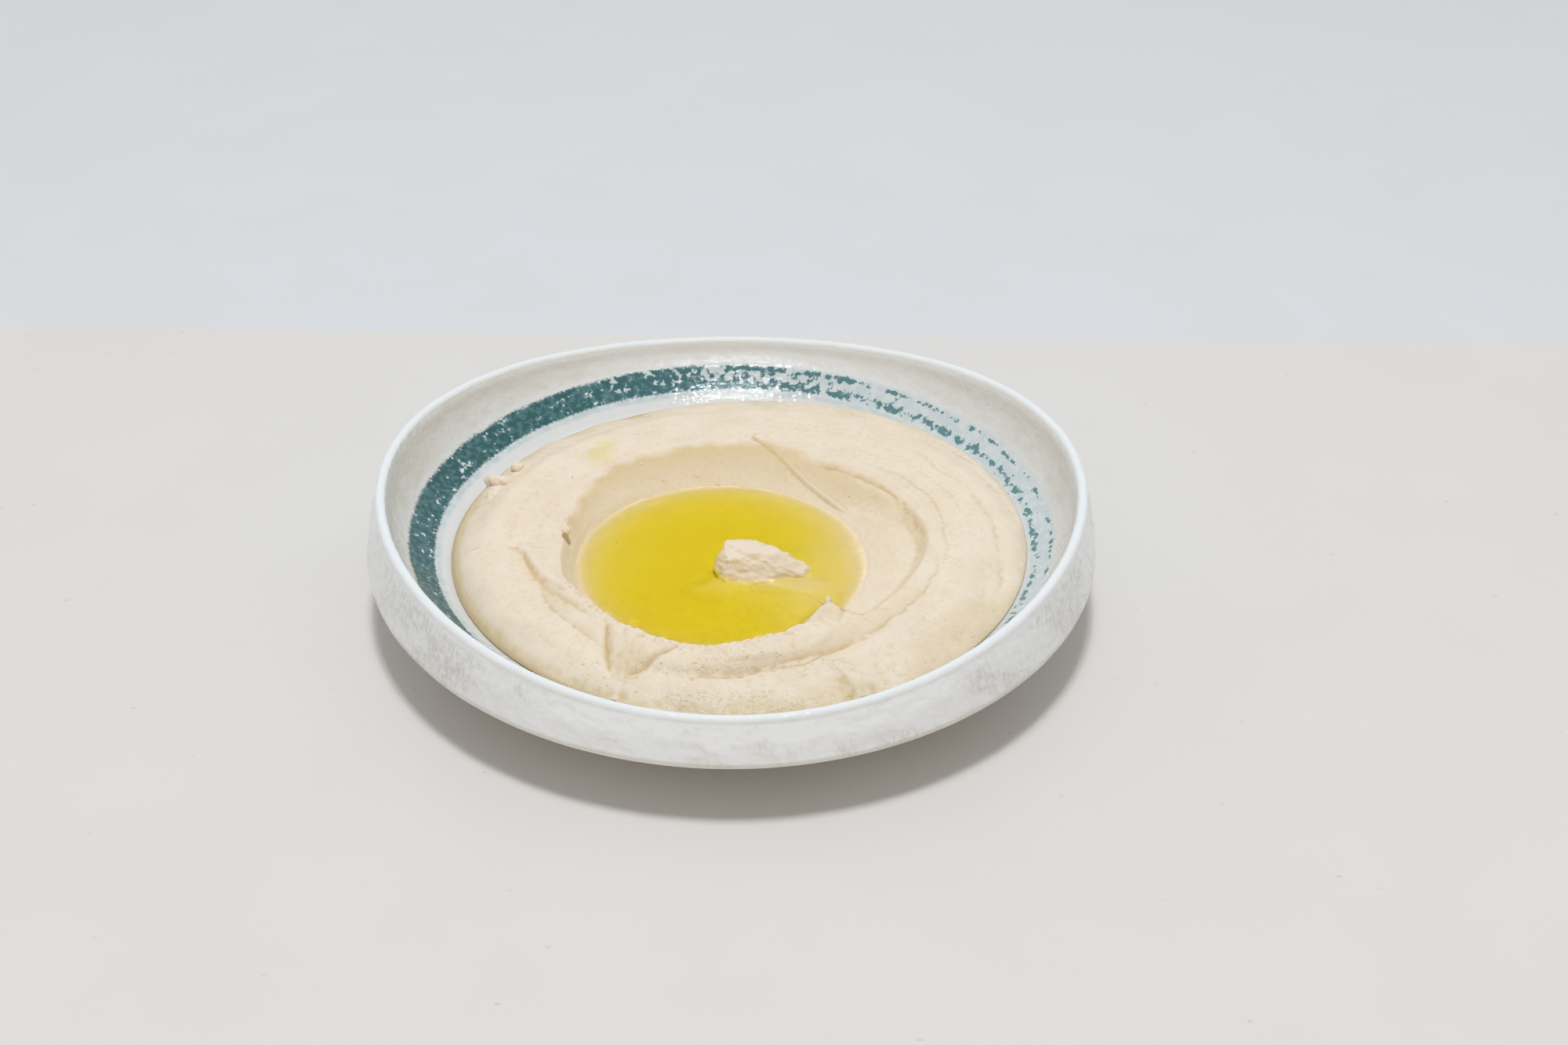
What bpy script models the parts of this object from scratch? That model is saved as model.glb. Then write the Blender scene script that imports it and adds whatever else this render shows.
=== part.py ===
"""Hummus with a pool of olive oil, in a glazed bowl whose rim rises and dips.

The bowl stands on its foot ring at z = 0, with its axis on Z. Its rim is high to the
right and left (+X and -X) and dips to the front and back (-Y and +Y). A spoon has
drawn the hummus round into a well, which holds the oil and one small lump of hummus.
Lengths are in metres and angles in degrees, counted from +X towards +Y.
"""
import math

import bmesh
import bpy
import numpy as np

GAP = 0.0003                    # between two pieces that touch

# Bowl: radii from its axis, heights above the table
BOWL_STEPS = 56
EDGE_RADIUS = 0.105             # widest ring, where the wall turns under
EDGE_HEIGHT = 0.0200
LIP_RADIUS = 0.0998             # middle of the rounded lip
LIP_HEIGHT = 0.0345             # centre of the lip's rounding, before the sway
LIP_ROUNDING = 0.0015
LIP_POINTS = 5
FOOT_OUTER = 0.0540
FOOT_INNER = 0.0490
FOOT_DEPTH = 0.0048             # hollow inside the foot ring
INSIDE = (                      # radius and height of the dished inside
    (0.0, 0.0105),
    (0.060, 0.0116),
    (0.076, 0.0138),
    (0.086, 0.0188),
    (0.0928, 0.0240),
    (0.0968, 0.0292),
)
INSIDE_SPAN_POINTS = 3          # points on the curve for each of those
OUTER_WALL = (                  # from below the lip down to the widest ring
    (0.1034, 0.0280),
    (EDGE_RADIUS, 0.0206),
    (EDGE_RADIUS - 0.0003, 0.0196),
)
UNDERSIDE = (                   # from the widest ring in to the middle of the foot
    (0.1038, 0.0188),
    (0.0980, 0.0160),
    (0.0860, 0.0120),
    (0.0720, 0.0083),
    (0.0600, 0.0060),
    (0.0560, 0.0045),
    (FOOT_OUTER, 0.0006),
    (FOOT_OUTER - 0.0006, 0.0),
    (FOOT_INNER + 0.0006, 0.0),
    (FOOT_INNER, 0.0006),
    (FOOT_INNER - 0.0010, FOOT_DEPTH),
    (0.0, FOOT_DEPTH),
)
SWAY = 0.0053                   # how far the lip rises at the sides and dips at front and back
SWAY_START_INSIDE = 0.0240      # height at which the inner wall starts to follow the sway
EDGE_SWAY_SHARE = 0.27          # share of the sway that the widest ring follows
UNDERSIDE_SWAY_START = 0.060    # radius from which the underside follows it

# Hummus: its outline on the bowl
OUTLINE_RADIUS = 0.0834
OUTLINE_WAVES = ((1, 0.0027, -26.0), (2, 0.0004, 35.0), (3, 0.0005, 47.0))
RING_HEIGHT = (0.0247, 0.0244, 0.0242, 0.0228)      # right, back, left, front
SWELL = (0.016, 0.034, 0.010, 0.010)                # width over which the edge rises to it
SWELL_POWER = 0.55
DIP = (0.0003, 0.0, 0.0016, 0.0012)                 # how far the ring sinks towards the crest
DIP_FROM, DIP_WIDTH = 0.013, 0.010                  # distances from the outline

# Hummus: the well that the spoon left
WELL_CENTRE = (0.001, -0.012)
CREST_RADIUS = 0.0522
CREST_WAVES = ((1, 0.0030, 74.0), (2, 0.0016, -46.0), (3, 0.0026, -13.0), (4, 0.0014, -15.0))
CREST_HEIGHT = (0.0252, 0.0252, 0.0254, 0.0256)     # right, back, left, front
WALL_WIDTH = (0.0050, 0.0090, 0.0050, 0.0080)       # from the crest in to the basin
BASIN_CENTRE = (-0.0040, -0.0130)
BASIN_RADIUS = 0.0405
BASIN_FLOOR = 0.0133
BASIN_RIM = 0.0180
BASIN_POWER = (1.5, 3.2, 3.6, 3.6)                  # the higher, the flatter its floor
BASIN_SLOPE = (0.15, 0.42, 0.45, 0.35)              # outside the pool, rise over run
BEAD_WIDTH = 0.0105             # rolled bead along the front of the well
BEAD_DROP = 0.0045
BEAD_FROM, BEAD_TO = 185.0, 340.0

# Hummus: folds, each a straight or slightly bent ridge from start to end
FOLD_START, FOLD_END = (0.0074, 0.0462), (0.0330, 0.0135)
FOLD_HEIGHTS = (0.0266, 0.0196)
FOLD_STEEP, FOLD_GENTLE = 0.62, 0.15
SPUR_START, SPUR_END = (0.0272, -0.0350), (0.0190, -0.0500)
SPUR_HEIGHTS = (0.0205, 0.0235)
SPUR_STEEP, SPUR_GENTLE = 1.3, 0.55
SHOAL_START, SHOAL_END = (0.0272, -0.0350), (0.0080, -0.0140)
SHOAL_HEIGHTS = (0.0174, 0.0166)
SHOAL_STEEP, SHOAL_GENTLE = 0.45, 0.20
TURN_START, TURN_END = (-0.0420, -0.0470), (-0.0600, -0.0130)
TURN_HEIGHTS = (0.0264, 0.0254)
TURN_STEEP, TURN_GENTLE = 0.95, 0.35
LICK_START, LICK_END = (-0.0265, -0.0570), (-0.0290, -0.0700)
LICK_HEIGHTS = (0.0262, 0.0232)
LICK_SLOPE = 0.60
NOTCH_START, NOTCH_END = (0.0270, -0.0690), (0.0320, -0.0760)
NOTCH_HEIGHTS = (0.0238, 0.0228)
NOTCH_STEEP, NOTCH_GENTLE = 0.70, 0.25

UNEVENNESS = 0.00022            # height of the slow waves all over the surface
UNEVEN_WAVES = ((0.021, 20.0), (0.016, 75.0), (0.024, 140.0))      # length, direction

# Grid of the hummus and the oil
SECTORS = 76
POOL_RINGS = 6
WALL_RINGS = 5
RING_RINGS = 12
EDGE_RINGS = 3
UNDER_SHARES = (0.94, 0.87, 0.78, 0.60, 0.30)      # rings underneath, as shares of the outline
EDGE_BAND = 0.0040              # width of the finer rings at the outer edge
SHORE_STEPS = 400

# Oil and the lump in it
OIL_LEVEL = 0.0180
LUMP_CENTRE = (0.0085, -0.0160)
LUMP_SIZE = (0.0290, 0.0170, 0.0090)
LUMP_BASE = 0.0155
LUMP_TAPER = 0.55               # share of its width lost at the right end
LUMP_FALL = 0.72                # share of its height lost there
LUMP_LEAN = 0.45                # how far the right end swings to the front, in half widths
LUMP_TOP_SHIFT = 0.0010         # how far its top lies behind its base
LUMP_CUTS = 2
LUMP_GAP = 0.0006
CUT_CLEARANCE = 0.0005
CUT_STRETCH = 3.0               # how much deeper than the lump the oil is cut


def smooth(t):
    """Rise from 0 to 1 with level ends."""
    t = np.clip(t, 0.0, 1.0)
    return t * t * (3.0 - 2.0 * t)


def around(angle, sizes):
    """A size that changes slowly round a circle through its right, back, left and front values."""
    right, back, left, front = sizes
    mean = (right + back + left + front) / 4.0
    sideways = (right - left) / 2.0 * np.cos(angle)
    forwards = (back - front) / 2.0 * np.sin(angle)
    oval = (right + left - back - front) / 4.0 * np.cos(2.0 * angle)
    return mean + sideways + forwards + oval


def waved(angle, radius, waves):
    """A radius with slow waves, each given by its count, its height and the angle of its top."""
    result = radius + 0.0 * angle
    for count, height, top in waves:
        result = result + height * np.cos(count * (angle - math.radians(top)))
    return result


def spline(points, span_points):
    """Points along a Catmull-Rom curve through (radius, height) points, some for each span."""
    knots = [np.array(p) for p in points]
    knots = [2.0 * knots[0] - knots[1]] + knots + [2.0 * knots[-1] - knots[-2]]
    curve = [knots[1]]
    for a, b, c, d in zip(knots, knots[1:], knots[2:], knots[3:]):
        for i in range(1, span_points + 1):
            t = i / span_points
            curve.append(
                0.5 * (2.0 * b + (c - a) * t + (2.0 * a - 5.0 * b + 4.0 * c - d) * t ** 2
                       + (3.0 * b - a - 3.0 * c + d) * t ** 3)
            )
    return curve


INSIDE_CURVE = np.array(spline(INSIDE, INSIDE_SPAN_POINTS))


def inside_height(radius):
    """Height of the bowl's inside at a distance from its axis."""
    return np.interp(radius, INSIDE_CURVE[:, 0], INSIDE_CURVE[:, 1])


def ridge(x, y, start, end, heights, steep, gentle):
    """Height of a ridge from start to end: gentle to the left of that way, steep to the right.

    Past its ends the ridge falls away, so that it can be merged with what lies under it.
    """
    along = np.array(end) - np.array(start)
    length = float(np.linalg.norm(along))
    along = along / length
    to_x, to_y = x - start[0], y - start[1]
    run = to_x * along[0] + to_y * along[1]
    aside = to_y * along[0] - to_x * along[1]
    share = np.clip(run / length, 0.0, 1.0)
    top = heights[0] + (heights[1] - heights[0]) * share
    past_end = np.abs(run - share * length)
    slope = np.where(aside > 0.0, gentle, steep)
    return top - slope * np.abs(aside) - max(steep, gentle) * past_end


def merge(a, b, blend):
    """The higher of two surfaces, with the corner between them rounded over blend."""
    near = np.clip(0.5 + 0.5 * (a - b) / blend, 0.0, 1.0)
    return b + (a - b) * near + blend * near * (1.0 - near)


def uneven(x, y):
    """Slow waves that cross each other, for a surface that no spoon leaves quite even."""
    total = 0.0
    for length, direction in UNEVEN_WAVES:
        turn = math.radians(direction)
        total = total + np.sin((x * math.cos(turn) + y * math.sin(turn)) / length * 2.0 * math.pi)
    return UNEVENNESS * total


def crest_radius(angle):
    """Distance of the well's crest from the well's centre."""
    return waved(angle, CREST_RADIUS, CREST_WAVES)


def outline_radius(angle):
    """Distance of the hummus's outer edge from the bowl's axis."""
    return waved(angle, OUTLINE_RADIUS, OUTLINE_WAVES)


def hummus_height(x, y):
    """Height of the hummus's surface over the plan points x, y."""
    radius, bearing = np.hypot(x, y), np.arctan2(y, x)
    outline = outline_radius(bearing)
    foot = inside_height(outline) + GAP
    inward = outline - radius
    rise = np.clip(inward / around(bearing, SWELL), 0.0, 1.0)
    swell = (1.0 - (1.0 - rise) ** 2) ** SWELL_POWER
    ring = foot + (around(bearing, RING_HEIGHT) - foot) * swell
    ring = ring - around(bearing, DIP) * smooth((inward - DIP_FROM) / DIP_WIDTH)

    to_x, to_y = x - WELL_CENTRE[0], y - WELL_CENTRE[1]
    reach, angle = np.hypot(to_x, to_y), np.arctan2(to_y, to_x)
    past = reach - crest_radius(angle)
    turn = np.degrees(angle) % 360.0
    beaded = smooth((turn - BEAD_FROM) / 30.0) * smooth((BEAD_TO - turn) / 45.0)
    crest = around(angle, CREST_HEIGHT)
    bead = crest - BEAD_DROP * (np.maximum(past, 0.0) / BEAD_WIDTH) ** 3
    bead = np.where(beaded > 0.0, bead - 0.004 * (1.0 - beaded), -1.0)
    top = merge(ring, bead, 0.0004) + uneven(x, y) * smooth(inward / EDGE_BAND)

    basin_x, basin_y = x - BASIN_CENTRE[0], y - BASIN_CENTRE[1]
    from_centre = np.hypot(basin_x, basin_y)
    basin_angle = np.arctan2(basin_y, basin_x)
    power = around(basin_angle, BASIN_POWER)
    bowl = BASIN_FLOOR + (BASIN_RIM - BASIN_FLOOR) * (from_centre / BASIN_RADIUS) ** power
    apron = BASIN_RIM + around(basin_angle, BASIN_SLOPE) * (from_centre - BASIN_RADIUS)
    basin = np.where(from_centre < BASIN_RADIUS, bowl, apron)
    wall = smooth(1.0 + past / around(angle, WALL_WIDTH))
    surface = basin + (top - basin) * wall

    for start, end, heights, steep, gentle in (
        (FOLD_START, FOLD_END, FOLD_HEIGHTS, FOLD_STEEP, FOLD_GENTLE),
        (SPUR_START, SPUR_END, SPUR_HEIGHTS, SPUR_STEEP, SPUR_GENTLE),
        (SHOAL_START, SHOAL_END, SHOAL_HEIGHTS, SHOAL_STEEP, SHOAL_GENTLE),
        (TURN_START, TURN_END, TURN_HEIGHTS, TURN_STEEP, TURN_GENTLE),
        (LICK_START, LICK_END, LICK_HEIGHTS, LICK_SLOPE, LICK_SLOPE),
        (NOTCH_START, NOTCH_END, NOTCH_HEIGHTS, NOTCH_STEEP, NOTCH_GENTLE),
    ):
        surface = merge(surface, ridge(x, y, start, end, heights, steep, gentle), 0.0004)
    return surface


def bowl_profile():
    """The bowl's section from the middle of its inside over the lip to the middle of its foot.

    Each point has a radius, a height and the share of the sway that its ring follows.
    """
    points = []
    for radius, height in INSIDE_CURVE:
        share = (height - SWAY_START_INSIDE) / (LIP_HEIGHT - SWAY_START_INSIDE)
        points.append((radius, height, max(0.0, share)))
    for i in range(LIP_POINTS):
        turn = math.pi * i / (LIP_POINTS - 1)
        radius = LIP_RADIUS - LIP_ROUNDING * math.cos(turn)
        points.append((radius, LIP_HEIGHT + LIP_ROUNDING * math.sin(turn), 1.0))
    for radius, height in OUTER_WALL:
        share = (height - EDGE_HEIGHT) / (LIP_HEIGHT - EDGE_HEIGHT)
        points.append((radius, height, EDGE_SWAY_SHARE + (1.0 - EDGE_SWAY_SHARE) * share))
    for radius, height in UNDERSIDE:
        share = (radius - UNDERSIDE_SWAY_START) / (EDGE_RADIUS - UNDERSIDE_SWAY_START)
        points.append((radius, height, EDGE_SWAY_SHARE * max(0.0, share)))
    return points


def add_object(name, mesh, collection, material=None):
    """A named object for a mesh, in a collection, with its material."""
    piece = bpy.data.objects.new(name, mesh)
    collection.objects.link(piece)
    if material:
        mesh.materials.clear()
        mesh.materials.append(material)
    return piece


def evaluated_mesh(piece):
    """A mesh of what the object's modifiers make of it."""
    bpy.context.view_layer.update()
    return bpy.data.meshes.new_from_object(piece.evaluated_get(bpy.context.evaluated_depsgraph_get()))


def make_bowl(collection, material):
    """The turned bowl, with its rim then swayed up at the sides and down at front and back."""
    profile = bowl_profile()
    mesh = bpy.data.meshes.new("bowl_profile")
    edges = [(i, i + 1) for i in range(len(profile) - 1)]
    mesh.from_pydata([(radius, 0.0, height) for radius, height, _ in profile], edges, [])
    turned = add_object("bowl_profile", mesh, collection)
    shares = turned.vertex_groups.new(name="sway")
    for i, (_, _, share) in enumerate(profile):
        shares.add([i], share, "REPLACE")
    screw = turned.modifiers.new("turn", "SCREW")
    screw.steps = screw.render_steps = BOWL_STEPS
    screw.use_merge_vertices = True
    screw.merge_threshold = 0.0001
    swayed = evaluated_mesh(turned)
    for vertex in swayed.vertices:
        share = sum(group.weight for group in vertex.groups)
        angle = math.atan2(vertex.co.y, vertex.co.x)
        vertex.co.z += SWAY * share * math.cos(2.0 * angle)
    bpy.data.objects.remove(turned)
    bowl = add_object("bowl", swayed, collection, material)
    swayed.shade_smooth()
    swayed.set_sharp_from_angle(angle=math.radians(50.0))
    return bowl


def lofted(name, first, rings, last):
    """A closed mesh through rings of points, with a pole at each end."""
    form = bmesh.new()
    loops = [[form.verts.new(point) for point in ring] for ring in rings]
    poles = form.verts.new(first), form.verts.new(last)
    count = len(rings[0])
    for i in range(count):
        j = (i + 1) % count
        form.faces.new((poles[0], loops[0][i], loops[0][j]))
        form.faces.new((loops[-1][i], poles[1], loops[-1][j]))
        for inner, outer in zip(loops, loops[1:]):
            form.faces.new((inner[i], outer[i], outer[j]))
            form.faces.new((inner[i], outer[j], inner[j]))
    bmesh.ops.recalc_face_normals(form, faces=form.faces)
    mesh = bpy.data.meshes.new(name)
    form.to_mesh(mesh)
    form.free()
    mesh.shade_smooth()
    return mesh


def along_rays(reach, angles):
    """Plan points at a reach from the well's centre along each ray."""
    return WELL_CENTRE[0] + reach * np.cos(angles), WELL_CENTRE[1] + reach * np.sin(angles)


def surface_ring(reach, angles, lift=0.0):
    """A ring of points on the hummus, or lift above it."""
    x, y = along_rays(reach, angles)
    return np.stack([x, y, hummus_height(x, y) + lift], axis=1)


def shore_reach(angles):
    """How far the oil goes along each ray: to where the hummus is a gap below its level."""
    steps = np.linspace(0.0, 1.0, SHORE_STEPS)
    grid = steps[:, None] * crest_radius(angles)[None, :]
    x, y = along_rays(grid, angles[None, :])
    dry = hummus_height(x, y) > OIL_LEVEL - GAP
    first = np.argmax(dry, axis=0)
    return steps[first - 1] * crest_radius(angles)


def outline_reach(angles):
    """Distance from the well's centre to the hummus's outline along each ray."""
    low, high = np.zeros_like(angles), np.full_like(angles, 2.0 * OUTLINE_RADIUS)
    for _ in range(40):
        middle = (low + high) / 2.0
        x, y = along_rays(middle, angles)
        outside = np.hypot(x, y) > outline_radius(np.arctan2(y, x))
        low, high = np.where(outside, low, middle), np.where(outside, middle, high)
    return low


def make_hummus(collection, material, angles, shore):
    """The hummus: its folded surface on top, the bowl's inside underneath."""
    crest, outline = crest_radius(angles), outline_reach(angles)
    band = outline - EDGE_BAND
    reaches = [shore * (k + 1) / POOL_RINGS for k in range(POOL_RINGS)]
    reaches += [shore + (crest - shore) * (k + 1) / WALL_RINGS for k in range(WALL_RINGS)]
    reaches += [crest + (band - crest) * (k + 1) / RING_RINGS for k in range(RING_RINGS)]
    reaches += [band + EDGE_BAND * (1.0 - (1.0 - (k + 1) / EDGE_RINGS) ** 2) for k in range(EDGE_RINGS)]
    rings = [surface_ring(reach, angles) for reach in reaches]
    for share in UNDER_SHARES:
        x, y = along_rays(outline * share, angles)
        rings.append(np.stack([x, y, inside_height(np.hypot(x, y)) + GAP], axis=1))
    centre = np.array(WELL_CENTRE)
    top = (*WELL_CENTRE, float(hummus_height(*centre)))
    bottom = (*WELL_CENTRE, float(inside_height(np.hypot(*centre))) + GAP)
    return add_object("hummus", lofted("hummus", top, rings, bottom), collection, material)


def make_oil(collection, material, angles, shore):
    """The pool of oil: level on top, a gap above the hummus underneath, thin at its shore."""
    rings = [surface_ring(shore * k / POOL_RINGS, angles, GAP) for k in range(1, POOL_RINGS)]
    x, y = along_rays(shore, angles)
    rings.append(np.stack([x, y, np.full(SECTORS, OIL_LEVEL)], axis=1))
    bottom = (*WELL_CENTRE, float(hummus_height(*np.array(WELL_CENTRE))) + GAP)
    mesh = lofted("olive_oil", bottom, rings, (*WELL_CENTRE, OIL_LEVEL))
    return add_object("olive_oil", mesh, collection, material)


def lump_point(point):
    """A point of the unit cube, -1 to 1 each way, moved to its place on the lump.

    The lump is blocky at its left end, and falls away and narrows to the right.
    """
    along, across, up = point
    fall = smooth((along + 0.35) / 1.5)
    width = 1.0 - LUMP_TAPER * fall
    height = 1.0 - LUMP_FALL * fall
    x = LUMP_CENTRE[0] + LUMP_SIZE[0] / 2.0 * along
    y = LUMP_CENTRE[1] + LUMP_SIZE[1] / 2.0 * (across * width - LUMP_LEAN * fall)
    y += LUMP_TOP_SHIFT * (up + 1.0) / 2.0
    z = LUMP_BASE + LUMP_SIZE[2] * (up + 1.0) / 2.0 * height
    return x, y, z


def make_lump(collection, material):
    """The lump of hummus in the pool, from a coarse cage that is smoothed."""
    form = bmesh.new()
    bmesh.ops.create_cube(form, size=2.0)
    bmesh.ops.subdivide_edges(form, edges=form.edges[:], cuts=LUMP_CUTS, use_grid_fill=True)
    for vertex in form.verts:
        vertex.co = lump_point(vertex.co)
    cage = bpy.data.meshes.new("lump_cage")
    form.to_mesh(cage)
    form.free()
    coarse = add_object("lump_cage", cage, collection)
    soft = coarse.modifiers.new("soften", "SUBSURF")
    soft.levels = soft.render_levels = 1
    mesh = evaluated_mesh(coarse)
    bpy.data.objects.remove(coarse)
    for vertex in mesh.vertices:
        x, y, z = vertex.co
        vertex.co.z = max(z, float(hummus_height(np.array(x), np.array(y))) + LUMP_GAP)
    mesh.shade_smooth()
    return add_object("hummus_lump", mesh, collection, material)


def cut_round(oil, lump, cutters):
    """Cuts the oil away round the lump, with a gap, all the way down."""
    form = bmesh.new()
    form.from_mesh(lump.data)
    form.normal_update()
    moved = [(vertex, vertex.co + vertex.normal * CUT_CLEARANCE) for vertex in form.verts]
    for vertex, place in moved:
        vertex.co = place
        vertex.co.z = min(place.z, OIL_LEVEL - (OIL_LEVEL - place.z) * CUT_STRETCH)
    mesh = bpy.data.meshes.new("lump_cutter")
    form.to_mesh(mesh)
    form.free()
    cutter = add_object("lump_cutter", mesh, cutters)
    cutter.hide_render = True
    cutter.display_type = "WIRE"
    cut = oil.modifiers.new("round_the_lump", "BOOLEAN")
    cut.operation = "DIFFERENCE"
    cut.object = cutter


def finish(name, colour, roughness, metallic=0.0):
    """A material with a Principled surface of one colour."""
    material = bpy.data.materials.new(name)
    material.use_nodes = True
    surface = material.node_tree.nodes["Principled BSDF"]
    surface.inputs["Base Color"].default_value = (*colour, 1.0)
    surface.inputs["Roughness"].default_value = roughness
    surface.inputs["Metallic"].default_value = metallic
    return material


def new_collection(name):
    """A collection in the scene."""
    collection = bpy.data.collections.new(name)
    bpy.context.scene.collection.children.link(collection)
    return collection


def main():
    """Builds the bowl, the hummus, the oil and the lump."""
    for old in list(bpy.data.objects):
        bpy.data.objects.remove(old)
    dish, cutters = new_collection("hummus_bowl"), new_collection("cutters")
    glaze = finish("white_glaze", (0.80, 0.80, 0.79), 0.18)
    paste = finish("hummus_paste", (0.76, 0.67, 0.55), 0.5)
    oil_finish = finish("olive_oil", (0.72, 0.52, 0.03), 0.05)
    angles = np.linspace(0.0, 2.0 * math.pi, SECTORS, endpoint=False)
    shore = shore_reach(angles)
    make_bowl(dish, glaze)
    make_hummus(dish, paste, angles, shore)
    oil = make_oil(dish, oil_finish, angles, shore)
    lump = make_lump(dish, paste)
    cut_round(oil, lump, cutters)


main()
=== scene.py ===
"""The looks of hummus with a pool of olive oil, in a glazed stoneware bowl with a swaying rim.

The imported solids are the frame: each piece here lies where its solid lies, in metres, with
+Z up and the bowl's axis on Z. The bowl is turned from a section, the hummus is one
surface over the plan that a spoon has drawn round into a well, and the oil fills the
well up to its level. Angles are in degrees, counted from +X towards +Y.
"""

import logging
import math
from dataclasses import dataclass, field
from enum import Enum
from typing import Any, Sequence

import bmesh
import bpy
import numpy as np
from mathutils import Matrix, Vector


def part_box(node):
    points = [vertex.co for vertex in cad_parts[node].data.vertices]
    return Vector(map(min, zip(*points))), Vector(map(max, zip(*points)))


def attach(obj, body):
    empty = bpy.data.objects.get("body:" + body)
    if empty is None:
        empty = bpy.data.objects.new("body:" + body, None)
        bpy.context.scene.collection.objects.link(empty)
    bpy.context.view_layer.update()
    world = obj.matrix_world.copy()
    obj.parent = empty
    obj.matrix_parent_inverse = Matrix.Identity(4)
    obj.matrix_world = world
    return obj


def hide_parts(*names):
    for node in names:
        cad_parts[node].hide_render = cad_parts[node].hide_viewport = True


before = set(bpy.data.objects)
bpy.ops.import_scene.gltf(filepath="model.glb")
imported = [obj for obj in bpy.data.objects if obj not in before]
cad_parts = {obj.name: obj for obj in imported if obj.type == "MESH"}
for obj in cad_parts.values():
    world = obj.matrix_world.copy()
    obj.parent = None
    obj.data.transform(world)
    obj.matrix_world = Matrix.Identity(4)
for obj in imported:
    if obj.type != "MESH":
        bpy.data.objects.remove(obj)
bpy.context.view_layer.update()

BODY = "root"
LIP_RADIUS, LIP_HEIGHT = 0.0998, 0.0345
EDGE_HEIGHT = 0.0200
SWAY = 0.0053
EDGE_SWAY_SHARE = 0.27
AROUND_ZERO = 1e-6
LOOKS = ("stain", "shine", "film", "hollow", "sunk")
log = logging.getLogger("hummus")

Array = np.ndarray
Point = tuple[float, float]
Colour = tuple[float, float, float]


class Slot(Enum):
    """The record's material slots."""

    GLAZE = "glazed_stoneware"
    HUMMUS = "hummus"
    OIL = "olive_oil"


# ---------------------------------------------------------------- shapes in numbers


def smooth(share: Array) -> Array:
    """Rises from 0 to 1 with level ends as the share does, and stays there outside."""
    held = np.clip(share, 0.0, 1.0)
    return held * held * (3.0 - 2.0 * held)


def merge(a: Array, b: Array, blend: float) -> Array:
    """Takes the higher of two surfaces and rounds the corner between them over a height."""
    near = np.clip(0.5 + 0.5 * (a - b) / blend, 0.0, 1.0)
    return b + (a - b) * near + blend * near * (1.0 - near)


def shares_to_one(count: int) -> Array:
    """Gives even shares of the way, from the first after 0 up to 1."""
    return np.linspace(0.0, 1.0, count + 1)[1:]


def spline(points: Sequence[Sequence[float]], span_points: int) -> Array:
    """Samples a Catmull-Rom curve.

    Args:
        points: Points that the curve goes through, each of any number of values.
        span_points: How many samples follow each point.

    Returns:
        The samples, one row each, from the first point to the last.
    """
    knots = [np.array(point, float) for point in points]
    knots = [2.0 * knots[0] - knots[1]] + knots + [2.0 * knots[-1] - knots[-2]]
    curve = [knots[1]]
    for a, b, c, d in zip(knots, knots[1:], knots[2:], knots[3:]):
        for i in range(1, span_points + 1):
            t = i / span_points
            bend = (2.0 * a - 5.0 * b + 4.0 * c - d) * t**2 + (3.0 * b - a - 3.0 * c + d) * t**3
            curve.append(0.5 * (2.0 * b + (c - a) * t + bend))
    return np.array(curve)


@dataclass(frozen=True)
class FourWay:
    """A size that changes slowly round a circle through four values."""

    right: float
    back: float
    left: float
    front: float

    def at(self, angle: Array) -> Array:
        """Gives the size in a direction.

        Args:
            angle: Direction in radians.

        Returns:
            The size there.
        """
        mean = (self.right + self.back + self.left + self.front) / 4.0
        sideways = (self.right - self.left) / 2.0 * np.cos(angle)
        forwards = (self.back - self.front) / 2.0 * np.sin(angle)
        oval = (self.right + self.left - self.back - self.front) / 4.0 * np.cos(2.0 * angle)
        return mean + sideways + forwards + oval


@dataclass(frozen=True)
class WavyCircle:
    """A circle with slow waves (count, height, angle of a top) and bulges (angle, width, height)."""

    radius: float
    waves: tuple[tuple[int, float, float], ...]
    bulges: tuple[tuple[float, float, float], ...] = ()

    def at(self, angle: Array) -> Array:
        """Gives the radius in a direction.

        Args:
            angle: Direction in radians.

        Returns:
            The radius there.
        """
        result = self.radius + 0.0 * angle
        for count, height, top in self.waves:
            result = result + height * np.cos(count * (angle - math.radians(top)))
        for middle, width, height in self.bulges:
            away = (np.degrees(angle) - middle + 180.0) % 360.0 - 180.0
            result = result + height * np.exp(-((away / width) ** 2))
        return result


class LatticeNoise:
    """Smooth random waves over a plane, the same for the same seed."""

    def __init__(self, seed: int, cells: int = 512) -> None:
        """Draws the lattice of random values, with some cells a side before it repeats."""
        self.cells = cells
        self.grid = np.random.default_rng(seed).uniform(-1.0, 1.0, (cells, cells))

    def at(self, x: Array, y: Array, length: float) -> Array:
        """Gives the waves' height.

        Args:
            x: Places along the first direction.
            y: Places along the second.
            length: Size of a lattice cell, about half a wave.

        Returns:
            Heights from -1 to 1.
        """
        u, v = x / length, y / length
        i, j = np.floor(u).astype(int), np.floor(v).astype(int)
        s, t = smooth(u - i), smooth(v - j)
        i0, j0, i1, j1 = (k % self.cells for k in (i, j, i + 1, j + 1))
        near = self.grid[i0, j0] * (1.0 - s) + self.grid[i1, j0] * s
        far = self.grid[i0, j1] * (1.0 - s) + self.grid[i1, j1] * s
        return near * (1.0 - t) + far * t


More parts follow.
